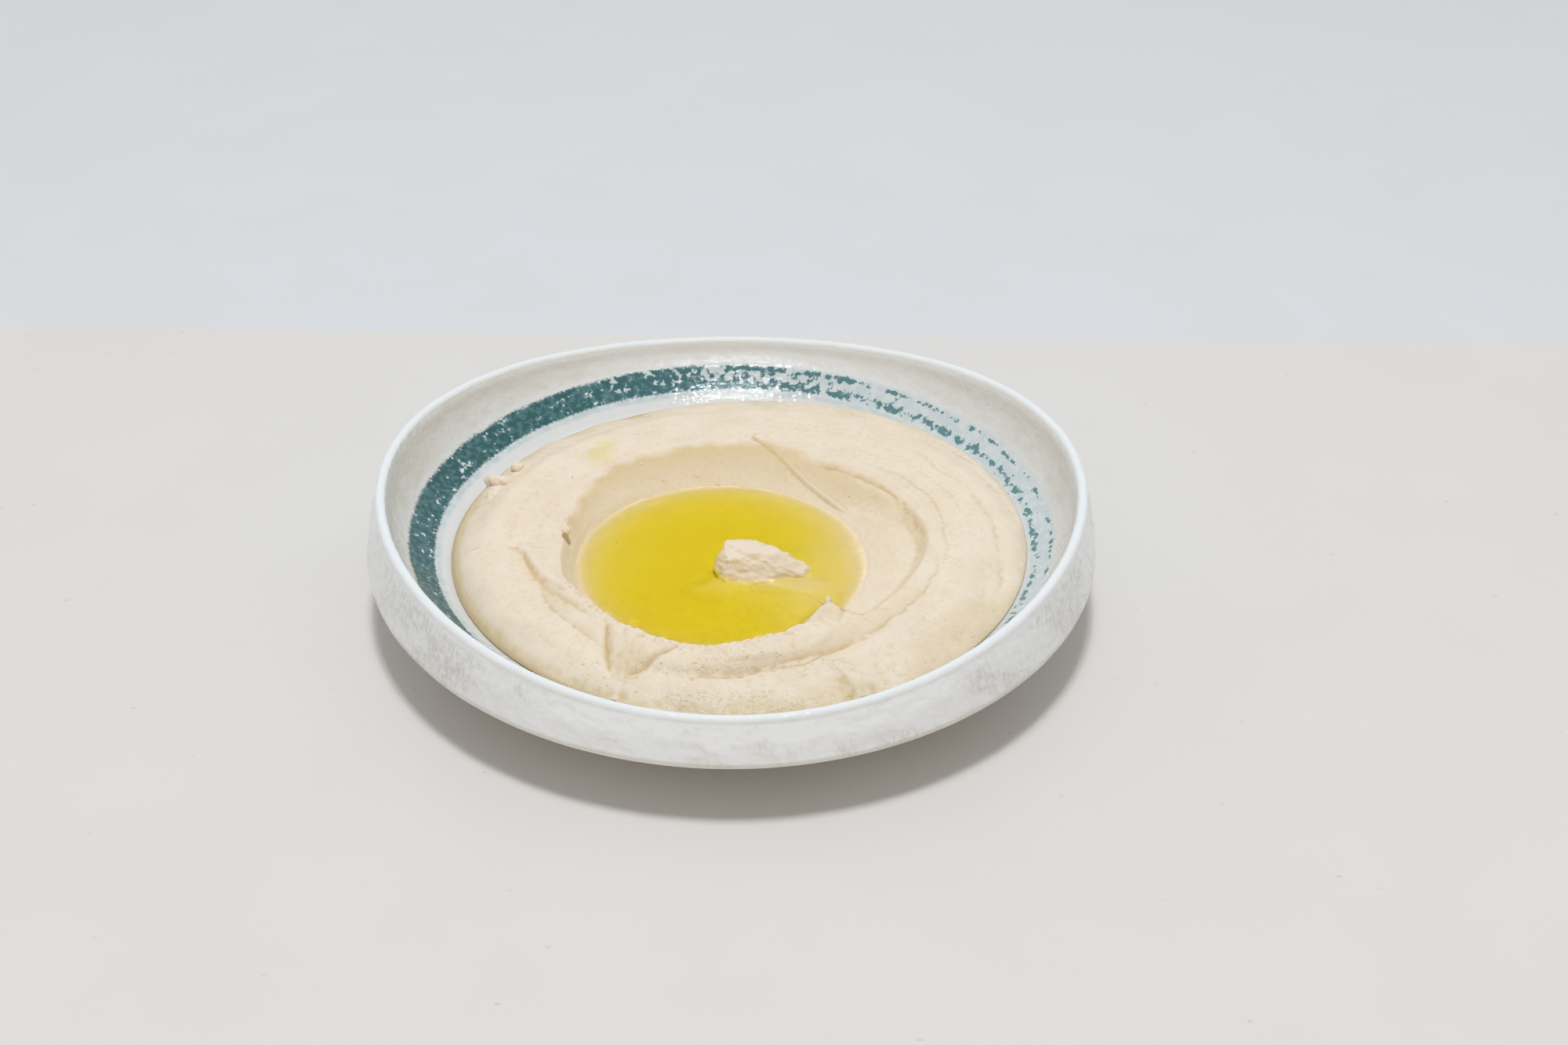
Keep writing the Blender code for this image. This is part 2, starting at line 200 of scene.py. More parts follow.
@dataclass(frozen=True)
class Ridge:
    """A straight fold: gentle to the left of the way from start to end, steep to the right."""

    start: Point
    end: Point
    heights: tuple[float, float]
    steep: float
    gentle: float
    blend: float = 0.0004

    def over(self, surface: Array, x: Array, y: Array) -> Array:
        """Merges the ridge with the surface under it.

        Args:
            surface: Heights without the ridge.
            x: Plan places.
            y: Plan places.

        Returns:
            Heights with the ridge.
        """
        along = np.array(self.end) - np.array(self.start)
        length = float(np.linalg.norm(along))
        along = along / length
        to_x, to_y = x - self.start[0], y - self.start[1]
        run = to_x * along[0] + to_y * along[1]
        aside = to_y * along[0] - to_x * along[1]
        share = np.clip(run / length, 0.0, 1.0)
        top = self.heights[0] + (self.heights[1] - self.heights[0]) * share
        slope = np.where(aside > 0.0, self.gentle, self.steep)
        past_end = np.abs(run - share * length)
        ridge = top - slope * np.abs(aside) - max(self.steep, self.gentle) * past_end
        return merge(surface, ridge, self.blend)


@dataclass(frozen=True)
class Stroke:
    """A line that the spoon's edge left: raised, or sunk where its height is negative."""

    points: tuple[Point, ...]
    height: float
    left: float
    right: float
    fade: float = 0.006
    sharpness: float = 1.3

    SPAN_POINTS = 6
    REACH = 4.0

    def relief(self, x: Array, y: Array) -> Array:
        """Gives what the stroke adds to the surface.

        Args:
            x: Plan places.
            y: Plan places.

        Returns:
            Heights to add, 0 away from the stroke.
        """
        result = np.zeros_like(x)
        route = spline(self.points, self.SPAN_POINTS)
        margin = self.REACH * max(self.left, self.right)
        low, high = route.min(axis=0) - margin, route.max(axis=0) + margin
        near = (x > low[0]) & (x < high[0]) & (y > low[1]) & (y < high[1])
        px, py = x[near], y[near]
        best, side, run = np.full_like(px, np.inf), np.ones_like(px), np.zeros_like(px)
        passed = 0.0
        for a, b in zip(route, route[1:]):
            length = float(np.hypot(*(b - a)))
            way = (b - a) / length
            along = (px - a[0]) * way[0] + (py - a[1]) * way[1]
            aside = (py - a[1]) * way[0] - (px - a[0]) * way[1]
            held = np.clip(along, 0.0, length)
            distance = np.hypot(along - held, aside)
            nearer = distance < best
            best = np.where(nearer, distance, best)
            side = np.where(nearer, aside, side)
            run = np.where(nearer, passed + held, run)
            passed += length
        width = np.where(side > 0.0, self.left, self.right)
        ends = smooth(run / self.fade) * smooth((passed - run) / self.fade)
        result[near] = self.height * np.exp(-((best / width) ** self.sharpness)) * ends
        return result


@dataclass(frozen=True)
class Patch:
    """An oval part of the plan with a soft edge."""

    centre: Point
    radii: Point
    turn: float = 0.0
    amount: float = 1.0
    softness: float = 0.35

    def share(self, x: Array, y: Array) -> Array:
        """Gives how far each place is in the patch.

        Args:
            x: Plan places.
            y: Plan places.

        Returns:
            The patch's amount inside, 0 outside.
        """
        turn = math.radians(self.turn)
        to_x, to_y = x - self.centre[0], y - self.centre[1]
        along = (to_x * math.cos(turn) + to_y * math.sin(turn)) / self.radii[0]
        across = (to_y * math.cos(turn) - to_x * math.sin(turn)) / self.radii[1]
        return self.amount * smooth((1.0 + self.softness - np.hypot(along, across)) / (2.0 * self.softness))


# ---------------------------------------------------------------- node trees


class Wire:
    """A node's output that Python expressions can be written on."""

    def __init__(self, tree: "Tree", socket: bpy.types.NodeSocket) -> None:
        """Wraps an output of a tree."""
        self.tree = tree
        self.socket = socket

    def maths(self, operation: str, *values: Any, clamp: bool = False) -> "Wire":
        """Adds a Math node on wires or numbers. Clamped, its result stays from 0 to 1."""
        settings = {"operation": operation, "use_clamp": clamp}
        return self.tree.wire("ShaderNodeMath", settings, dict(enumerate(values)))

    def __add__(self, other: Any) -> "Wire":
        """Adds."""
        return self.maths("ADD", self, other)

    __radd__ = __add__

    def __sub__(self, other: Any) -> "Wire":
        """Takes the other away."""
        return self.maths("SUBTRACT", self, other)

    def __rsub__(self, other: Any) -> "Wire":
        """Is taken away from the other."""
        return self.maths("SUBTRACT", other, self)

    def __mul__(self, other: Any) -> "Wire":
        """Multiplies."""
        return self.maths("MULTIPLY", self, other)

    __rmul__ = __mul__

    def __truediv__(self, other: Any) -> "Wire":
        """Divides by the other."""
        return self.maths("DIVIDE", self, other)

    def __pow__(self, other: Any) -> "Wire":
        """Raises to a power."""
        return self.maths("POWER", self, other)

    def highest(self, other: Any) -> "Wire":
        """Takes the higher of two."""
        return self.maths("MAXIMUM", self, other)

    def held(self) -> "Wire":
        """Keeps the value from 0 to 1."""
        return self.maths("ADD", self, 0.0, clamp=True)

    def through(self, operation: str) -> "Wire":
        """Puts the value alone through a Math node, such as FLOOR or SINE."""
        return self.maths(operation, self)

    def size(self) -> "Wire":
        """Drops the sign."""
        return self.through("ABSOLUTE")

    def steps(self, low: Any, high: Any, to_low: float = 0.0, to_high: float = 1.0) -> "Wire":
        """Rises smoothly between two values.

        Args:
            low: Where the rise starts.
            high: Where it ends, below low for a fall.
            to_low: Result at the start.
            to_high: Result at the end.

        Returns:
            The result.
        """
        settings = {"interpolation_type": "SMOOTHSTEP"}
        sockets = {"Value": self, "From Min": low, "From Max": high, "To Min": to_low, "To Max": to_high}
        return self.tree.wire("ShaderNodeMapRange", settings, sockets)

    def part(self, name: str) -> "Wire":
        """Takes the X, Y or Z of a vector."""
        node = self.tree.node("ShaderNodeSeparateXYZ", {}, {0: self})
        return Wire(self.tree, node.outputs[name])

    def length(self) -> "Wire":
        """Takes a vector's length."""
        return self.tree.wire("ShaderNodeVectorMath", {"operation": "LENGTH"}, {0: self}, "Value")

    def scaled(self, by: Any) -> "Wire":
        """Scales a vector by a number."""
        return self.tree.wire("ShaderNodeVectorMath", {"operation": "SCALE"}, {0: self, "Scale": by})

    def stretched(self, by: Any) -> "Wire":
        """Multiplies a vector by another, component by component."""
        return self.tree.wire("ShaderNodeVectorMath", {"operation": "MULTIPLY"}, {0: self, 1: by})


class Tree:
    """A node tree that is built by calls."""

    def __init__(self, nodes: bpy.types.NodeTree) -> None:
        """Takes over the node tree to build in."""
        self.nodes = nodes

    def node(self, kind: str, settings: dict[str, Any], sockets: dict[Any, Any]) -> bpy.types.Node:
        """Adds any node.

        Args:
            kind: The node's type.
            settings: Its properties, set first.
            sockets: Values or wires for its inputs, by name or number.

        Returns:
            The node.
        """
        made = self.nodes.nodes.new(kind)
        for name, value in settings.items():
            setattr(made, name, value)
        for name, value in sockets.items():
            self.feed(made.inputs[name], value)
        return made

    def feed(self, socket: bpy.types.NodeSocket, value: Any) -> None:
        """Sets an input.

        Args:
            socket: The input.
            value: A wire, a number, a vector or a colour without its alpha.
        """
        if isinstance(value, Wire):
            self.nodes.links.new(value.socket, socket)
        elif isinstance(value, tuple) and len(value) < len(socket.default_value):
            socket.default_value = (*value, 1.0)
        else:
            socket.default_value = value

    def wire(self, kind: str, settings: dict[str, Any], sockets: dict[Any, Any], out: Any = 0) -> Wire:
        """Adds any node and gives one of its outputs, by name or number."""
        return Wire(self, self.node(kind, settings, sockets).outputs[out])

    def noise(self, place: Wire, size: float, detail: float = 2.0, roughness: float = 0.5) -> Wire:
        """Adds noise around 0.5 with blotches of a size in metres, and finer octaves of some strength."""
        sockets = {"Vector": place, "Scale": 1.0 / size, "Detail": detail, "Roughness": roughness}
        return self.wire("ShaderNodeTexNoise", {}, sockets)

    def cells(self, place: Wire, size: float, out: str = "Distance") -> Wire:
        """Adds cells of a size in metres, and gives the distance in cells or each cell's Color."""
        return self.wire("ShaderNodeTexVoronoi", {}, {"Vector": place, "Scale": 1.0 / size}, out)

    def combined(self, x: Any, y: Any, z: Any = 0.0) -> Wire:
        """Puts a vector together."""
        return self.wire("ShaderNodeCombineXYZ", {}, {"X": x, "Y": y, "Z": z})


class Material(Tree):
    """A material with one Principled surface."""

    def __init__(self, name: str) -> None:
        """Makes the material with its surface and output.

        Args:
            name: The material's name.
        """
        self.material = bpy.data.materials.new(name)
        self.material.use_nodes = True
        super().__init__(self.material.node_tree)
        self.nodes.nodes.clear()
        self.output = self.node("ShaderNodeOutputMaterial", {}, {})
        self.surface = self.node("ShaderNodeBsdfPrincipled", {}, {})
        self.nodes.links.new(self.surface.outputs[0], self.output.inputs["Surface"])

    def place(self) -> Wire:
        """Gives Object coordinates, in metres."""
        return self.wire("ShaderNodeTexCoord", {}, {}, "Object")

    def painted(self, name: str) -> Wire:
        """Gives a number that is stored on the mesh."""
        return self.wire("ShaderNodeAttribute", {"attribute_name": name}, {}, "Fac")

    def mix(self, share: Any, a: Any, b: Any) -> Wire:
        """Mixes two colours.

        Args:
            share: 0 for the first and 1 for the second.
            a: The first colour.
            b: The second colour.

        Returns:
            The mixed colour.
        """
        made = self.node("ShaderNodeMix", {"data_type": "RGBA"}, {"Factor": share})
        for name, value in (("A_Color", a), ("B_Color", b)):
            self.feed(next(s for s in made.inputs if s.identifier == name), value)
        return Wire(self, next(s for s in made.outputs if s.identifier == "Result_Color"))

    def set(self, **values: Any) -> None:
        """Sets the surface's inputs, by their names with _ for a space."""
        for name, value in values.items():
            self.feed(self.surface.inputs[name.replace("_", " ")], value)

    def bump(self, height: Wire, distance: float) -> None:
        """Feeds a relief from 0 to 1, of a depth in metres, to the surface's normal."""
        self.set(Normal=self.wire("ShaderNodeBump", {}, {"Height": height, "Distance": distance}, "Normal"))


def display(red: int, green: int, blue: int) -> Colour:
    """Turns a colour as a display shows it into the light that it stands for.

    Args:
        red: From 0 to 255.
        green: From 0 to 255.
        blue: From 0 to 255.

    Returns:
        The linear colour.
    """
    shares = (value / 255.0 for value in (red, green, blue))
    red_light, green_light, blue_light = (
        share / 12.92 if share <= 0.04045 else ((share + 0.055) / 1.055) ** 2.4 for share in shares
    )
    return red_light, green_light, blue_light


# ---------------------------------------------------------------- finishes


@dataclass(frozen=True)
class StonewareGlaze:
    """White glaze over sandy stoneware, with a brushed ring that runs dry on its way round."""

    white: Colour = display(243, 247, 252)
    # The inside glaze is drawn greyer than the outer white, as painted shade on the inside.
    inner_white_shaded: Colour = display(226, 228, 228)
    sand: Colour = display(206, 202, 192)
    thin: Colour = display(186, 180, 166)
    lip: Colour = display(236, 240, 243)
    edge: Colour = display(226, 216, 200)
    bare: Colour = display(206, 196, 180)
    ring: Colour = display(46, 92, 94)
    ring_dry: Colour = display(100, 143, 150)
    wash: Colour = display(184, 202, 207)
    ring_inner: float = 0.0862
    ring_outer: float = 0.0930
    wall_foot: float = 0.0940
    foot_height: float = 0.0007
    stroke_start: float = 236.0
    brush_stretch: float = 0.8
    outer_row: tuple[float, float, float] = (0.70, 0.20, 0.22)
    inner_row: tuple[float, float, float] = (-0.50, 0.44, 0.29)
    smooth_roughness: float = 0.045
    wander_size: float = 0.014
    scale_size: float = 0.0019
    blotch_size: float = 0.0016
    patch_size: float = 0.0060
    fray_size: float = 0.0009
    hole_size: float = 0.0034
    haze_size: float = 0.0030
    fine_size: float = 0.0007
    crackle_size: float = 0.0012
    cloud_size: float = 0.021
    mottle_size: float = 0.0042
    speck_spacing: float = 0.0075
    dimple_size: float = 0.0030
    dimple_depth: float = 0.00034

    def brushed(self, paint: Material, place: Wire, radius: Wire) -> tuple[Wire, Wire, Wire]:
        """Works out what the brush left.

        Args:
            paint: The material.
            place: Object coordinates.
            radius: Distance from the bowl's axis.

        Returns:
            The colour's cover, how dry the brush was, and the cover of the thin wash.
        """
        x, y = place.part("X"), place.part("Y")
        turn = paint.wire("ShaderNodeMath", {"operation": "ARCTAN2"}, {0: y, 1: x})
        behind = (math.radians(self.stroke_start) - turn) / math.tau
        gone = behind.through("FRACT")
        middle = (self.ring_inner + self.ring_outer) / 2.0
        half = (self.ring_outer - self.ring_inner) / 2.0
        wander = paint.noise(place, self.wander_size, 2.0) - 0.5
        across = (radius - middle) / half + wander * 0.30
        run = gone * (math.tau * middle * self.brush_stretch)
        flat = paint.combined(run, radius)
        scales = paint.cells(flat, self.scale_size)
        blotch = paint.noise(flat, self.blotch_size, 2.5, 0.6) - 0.40 - scales * 0.28
        patch = paint.noise(flat, self.patch_size, 1.0) - 0.5
        fray = paint.noise(place, self.fray_size, 3.0, 0.65) - 0.5
        holes = paint.cells(place, self.hole_size).steps(0.16, 0.08) * gone.steps(0.08, 0.22)
        dry = gone.steps(0.25, 0.56)
        drier = gone.steps(0.50, 0.74)
        rows: Wire | float = -0.20
        for centre, width, height in (self.outer_row, self.inner_row):
            near = (across - centre) / width
            rows = rows + (near * near * -1.0).through("EXPONENT") * height
        load = (1.0 - dry) * 0.24 + dry * (rows - drier * 0.03)
        cover = (blotch + patch * 0.40 + load).steps(-0.045, 0.050) * (1.0 - holes * 0.8)
        inside = (across.size() + fray * (0.55 + dry * 0.30)).steps(1.12, 0.88)
        ragged = gone + fray * 0.05 - across * across * 0.010
        start = ragged.steps(0.0, 0.012) * ragged.steps(0.995, 0.970)
        haze = paint.noise(place, self.haze_size, 2.0).steps(0.30, 0.62)
        brim = (across.size() + fray * 0.4).steps(1.30, 0.75)
        halo = (across + 1.25).size().steps(0.45, 0.05) * gone.steps(0.75, 0.40) * (0.25 + haze * 0.5)
        wash = start * (brim * gone.steps(0.18, 0.34) * (0.30 + haze * 0.36)).highest(halo)
        return inside * cover * start, (dry * 0.85 + blotch.steps(0.02, -0.12) * 0.45).held(), wash

    def make(self) -> bpy.types.Material:
        """Builds the material.

        Returns:
            The material.
        """
        paint = Material("stoneware_glaze")
        place = paint.place()
        x, y, z = (place.part(name) for name in "XYZ")
        radius = paint.combined(x, y).length()
        square = radius * radius + AROUND_ZERO
        lift = (x * x - y * y) / square * SWAY
        level = z - lift * (z.steps(EDGE_HEIGHT, LIP_HEIGHT) * (1.0 - EDGE_SWAY_SHARE) + EDGE_SWAY_SHARE)
        outside = (radius - LIP_RADIUS - 0.0009).steps(0.0, 0.0008).highest(z.steps(0.0165, 0.0150))
        inside = 1.0 - outside
        lip = level.steps(LIP_HEIGHT - 0.0022, LIP_HEIGHT + 0.0002)

        fine = paint.noise(place, self.fine_size, 3.0, 0.65)
        crackle = paint.noise(place.stretched((1.0, 1.0, 0.5)), self.crackle_size, 4.0, 0.65)
        skewed = x * 0.8 + y * 0.6 + z * 0.7, y * 0.8 - x * 0.6 + z * 0.9, z + x * 0.5 - y * 0.4
        askew = paint.combined(*skewed)
        clouds = paint.noise(askew, self.cloud_size, 3.0, 0.6)
        mottled = paint.noise(askew, self.mottle_size, 3.0, 0.6)
        # How far round to the left or right side of the bowl a point lies; the outer wall is drawn darker
        # there as painted shade.
        side = (x * x / square).steps(0.02, 0.60)

        wall = inside * radius.steps(self.wall_foot - 0.0012, self.wall_foot + 0.0012) * (1.0 - lip)
        grainy = (fine * 0.40 + mottled * 0.45 + clouds * 0.45 - 0.15).steps(0.42, 0.66)
        # Less sand near the lip, so the upper inner wall is drawn lighter: painted light where its steep top
        # gets less light.
        sand_with_painted_lip_light = wall * (0.16 + grainy * 0.52) * (1.0 - level.steps(0.0240, LIP_HEIGHT) * 0.6)
        # Outer white outside; inside, the greyer white with painted shade, then sand on the inner wall.
        body = paint.mix(sand_with_painted_lip_light, paint.mix(inside, self.white, self.inner_white_shaded), self.sand)
        body = paint.mix(lip, body, self.lip)

        # Thin glaze in patches on the outer wall, with painted shade that darkens its left and right sides.
        patchy = (clouds * 0.75 + mottled * 0.25 + side * 0.10).steps(0.52, 0.66)
        crawled = (crackle * 0.8 + fine * 0.2).steps(0.40, 0.64)
        thin_patches_and_side_shade = patchy * (0.09 + crawled * 0.28) + side * (0.06 + crawled * 0.10)
        outer_thin_and_side_shade = outside * (1.0 - lip) * thin_patches_and_side_shade
        body = paint.mix(outer_thin_and_side_shade.held(), body, self.thin)
        edge_line = (level - EDGE_HEIGHT).size().steps(0.0010, 0.0002) * outside
        body = paint.mix(edge_line * (0.20 + 0.4 * mottled), body, self.edge)

        spot = paint.cells(place, self.speck_spacing)
        spot_size = paint.cells(place, self.speck_spacing, "Color").part("X")
        specks = spot.steps(0.055, 0.030) * spot_size.steps(0.62, 0.75)
        body = paint.mix(specks * 0.5, body, self.thin)

        cover, dry, wash = self.brushed(paint, place, radius)
        body = paint.mix(wash * inside, body, self.wash)
        body = paint.mix(cover * inside, body, paint.mix(dry, self.ring, self.ring_dry))
        bare = z.steps(self.foot_height, self.foot_height * 0.5)
        body = paint.mix(bare, body, self.bare)

        rough = self.smooth_roughness + wall * (0.22 + grainy * 0.15) + outer_thin_and_side_shade * 0.22 + bare * 0.6
        paint.set(Base_Color=body, Roughness=rough, IOR=1.5)
        dimple = paint.noise(place, self.dimple_size, 1.0) * 0.80 + fine * 0.06 + mottled * 0.22
        paint.bump(dimple, self.dimple_depth)
        return paint.material


@dataclass(frozen=True)
class HummusPaste:
    """Smooth paste of chickpeas: matt and pale, darker and shiny where oil has wetted it, and darker in
    creases and along grooves as painted shade.
    """

    pale: Colour = display(241, 227, 207)
    deep: Colour = display(235, 218, 194)
    oiled_and_shaded: Colour = display(220, 196, 150)
    sunk: Colour = display(209, 187, 154)
    film: Colour = display(230, 217, 140)
    crease_shade: Colour = display(204, 176, 120)
    fleck: Colour = display(150, 118, 80)
    cloud_size: float = 0.009
    fleck_spacing: float = 0.0062
    grain: float = 0.00045
    coarse_grain: float = 0.0013
    glitter: float = 0.0015
    grain_depth: float = 0.00016

    def make(self) -> bpy.types.Material:
        """Builds the material.

        Returns:
            The material.
        """
        paint = Material("hummus_paste")
        place = paint.place()
        stain, shine, hollow = paint.painted("stain"), paint.painted("shine"), paint.painted("hollow")
        clouds = paint.noise(place, self.cloud_size, 2.0, 0.55)
        coarse = paint.noise(place, self.coarse_grain, 3.0, 0.6)
        fine = paint.noise(place, self.grain, 2.0, 0.6)
        tone = (clouds * 0.65 + coarse * 0.35).steps(0.30, 0.74)
        body = paint.mix(tone, self.pale, self.deep)
        # Oil stain, and painted shade along grooves and creases and just under the crest of the well.
        body = paint.mix((stain * (0.75 + coarse * 0.4)).held(), body, self.oiled_and_shaded)
        body = paint.mix(paint.painted("film"), body, self.film)
        body = paint.mix(paint.painted("sunk"), body, self.sunk)
        # Painted shade in creases and hollows, where the surface lies below the points round it.
        body = paint.mix(hollow * 0.75, body, self.crease_shade)
        dot = paint.cells(place, self.fleck_spacing)
        chance = paint.cells(place, self.fleck_spacing, "Color").part("Y")
        flecks = dot.steps(0.052, 0.030) * chance.steps(0.84, 0.87)
        body = paint.mix(flecks * 0.85, body, self.fleck)
        rough = 0.62 - shine * 0.52
        glitter = paint.noise(place, self.glitter, 2.0, 0.7)
        paint.set(Base_Color=body, Roughness=rough, IOR=1.45)
        relief = fine * (0.26 + shine * 0.3) + coarse * (0.42 + shine * 0.7) + glitter * shine * 2.4
        paint.bump(relief, self.grain_depth)
        return paint.material


@dataclass(frozen=True)
class OliveOil:
    """Clear oil that takes blue out of the light on its way through.

    Its index lies below olive oil's true 1.47, with which the light that is caught under
    the surface makes the shallow shore too bright and too yellow.
    """

    passes: Colour = (0.979, 0.967, 0.0)
    density: float = 345.0
    roughness: float = 0.03
    ior: float = 1.2

    def make(self) -> bpy.types.Material:
        """Builds the material: light from lamps goes straight in, so that what lies below is lit.

        Returns:
            The material.
        """
        paint = Material("olive_oil")
        paint.set(Base_Color=(1.0, 1.0, 1.0), Roughness=self.roughness, IOR=self.ior)
        paint.set(Transmission_Weight=1.0)
        straight = paint.wire("ShaderNodeBsdfTransparent", {}, {})
        lamp = paint.wire("ShaderNodeLightPath", {}, {}, "Is Shadow Ray")
        clear = Wire(paint, paint.surface.outputs[0])
        both = paint.wire("ShaderNodeMixShader", {}, {0: lamp, 1: clear, 2: straight})
        taken = {"Color": self.passes, "Density": self.density}
        depth = paint.wire("ShaderNodeVolumeAbsorption", {}, taken)
        paint.nodes.links.new(both.socket, paint.output.inputs["Surface"])
        paint.nodes.links.new(depth.socket, paint.output.inputs["Volume"])
        return paint.material


@dataclass(frozen=True)
class OilFilm:
    """Oil that stands on the hummus in drops too thin to be yellow."""

    colour: Colour = display(232, 217, 188)
    darker: Colour = display(226, 208, 168)
    wave_size: float = 0.0009
    roughness: float = 0.08

    def make(self) -> bpy.types.Material:
        """Builds the material.

        Returns:
            The material.
        """
        paint = Material("oil_film")
        waves = paint.noise(paint.place(), self.wave_size, 1.0)
        paint.set(Base_Color=paint.mix(waves, self.colour, self.darker), IOR=1.47)
        paint.set(Roughness=self.roughness + waves * 0.08)
        return paint.material


@dataclass(frozen=True)
class PlainStone:
    """Pale worktop with faint fine flecks."""

    name: str
    colour: Colour
    fleck: Colour = display(176, 168, 156)
    flecked: float = 0.35
    fleck_spacing: float = 0.0065
    cloud_size: float = 0.05
    roughness: float = 0.38

    def make(self) -> bpy.types.Material:
        """Builds the material.

        Returns:
            The material.
        """
        paint = Material(self.name)
        place = paint.place()
        long = place.stretched((0.6, 1.0, 1.0))
        dot = paint.cells(long, self.fleck_spacing)
        chance = paint.cells(long, self.fleck_spacing, "Color").part("X")
        flecks = dot.steps(0.09, 0.03) * chance.steps(0.55, 0.95)
        clouds = paint.noise(place, self.cloud_size, 2.0).steps(0.3, 0.7)
        body = paint.mix(flecks * self.flecked + clouds * 0.03, self.colour, self.fleck)
        paint.set(Base_Color=body, Roughness=self.roughness)
        return paint.material


# ---------------------------------------------------------------- making meshes


def mesh_from(name: str, places: Array, faces: Sequence[Sequence[int]]) -> bpy.types.Mesh:
    """Makes a smooth mesh.

    Args:
        name: The mesh's name.
        places: Its points, one row each.
        faces: The points of each face.

    Returns:
        The mesh.
    """
    mesh = bpy.data.meshes.new(name)
    mesh.from_pydata(places.tolist(), [], faces)
    mesh.validate()
    mesh.shade_smooth()
    return mesh


def lofted(name: str, first: Array, rings: Array, last: Array) -> bpy.types.Mesh:
    """Makes a closed mesh through rings of points, with a pole at each end.

    Args:
        name: The mesh's name.
        first: The pole inside the first ring.
        rings: Points by ring and sector.
        last: The pole inside the last ring.

    Returns:
        The mesh.
    """
    ring_count, sectors = rings.shape[:2]
    places = np.concatenate([rings.reshape(-1, 3), first[None], last[None]])
    index = np.arange(ring_count * sectors).reshape(ring_count, sectors)
    beside = np.roll(index, -1, axis=1)
    quads = np.stack([index[:-1], index[1:], beside[1:], beside[:-1]], axis=-1).reshape(-1, 4)
    poles = ring_count * sectors, ring_count * sectors + 1
    start = [(poles[0], int(a), int(b)) for a, b in zip(index[0], beside[0])]
    end = [(int(a), poles[1], int(b)) for a, b in zip(index[-1], beside[-1])]
    return mesh_from(name, places, quads.tolist() + start + end)


def store(mesh: bpy.types.Mesh, name: str, values: Array) -> None:
    """Stores a number for each point of a mesh as a named attribute."""
    attribute = mesh.attributes.new(name, "FLOAT", "POINT")
    attribute.data.foreach_set("value", np.asarray(values, np.float32).ravel())


def face_outwards(mesh: bpy.types.Mesh) -> None:
    """Turns the faces of a closed mesh outwards.

    Args:
        mesh: The mesh.
    """
    form = bmesh.new()
    form.from_mesh(mesh)
    bmesh.ops.recalc_face_normals(form, faces=form.faces)
    form.to_mesh(mesh)
    form.free()


def smooth_mesh(name: str, form: bmesh.types.BMesh) -> bpy.types.Mesh:
    """Turns a form into a smooth mesh and frees it.

    Args:
        name: The mesh's name.
        form: The form.

    Returns:
        The mesh.
    """
    mesh = bpy.data.meshes.new(name)
    form.to_mesh(mesh)
    form.free()
    mesh.shade_smooth()
    return mesh


def bumped(noise: LatticeNoise, bumps: Sequence[Point], u: float, v: float) -> float:
    """Adds up waves of noise, each of a depth and a length, at one place."""
    return sum(depth * float(noise.at(np.array(u), np.array(v), length)) for depth, length in bumps)


def add_piece(name: str, mesh: bpy.types.Mesh, finish: bpy.types.Material) -> bpy.types.Object:
    """Adds an object for a mesh, at the origin.

    Args:
        name: The piece's name.
        mesh: Its mesh, in place.
        finish: Its material.

    Returns:
        The object.
    """
    mesh.materials.clear()
    mesh.materials.append(finish)
    piece = bpy.data.objects.new(name, mesh)
    bpy.context.scene.collection.objects.link(piece)
    return piece


def settle(piece: bpy.types.Object, slot: Slot, *nodes: str) -> None:
    """Hands a finished piece to the frame and reports it.

    Args:
        piece: The piece.
        slot: The record's slot for the piece's finish; not used.
        nodes: The solids that it stands for.
    """
    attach(piece, BODY)
    if nodes:
        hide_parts(*nodes)
    triangles = sum(len(face.vertices) - 2 for face in piece.data.polygons)
    log.info("%s: %d triangles", piece.name, triangles)


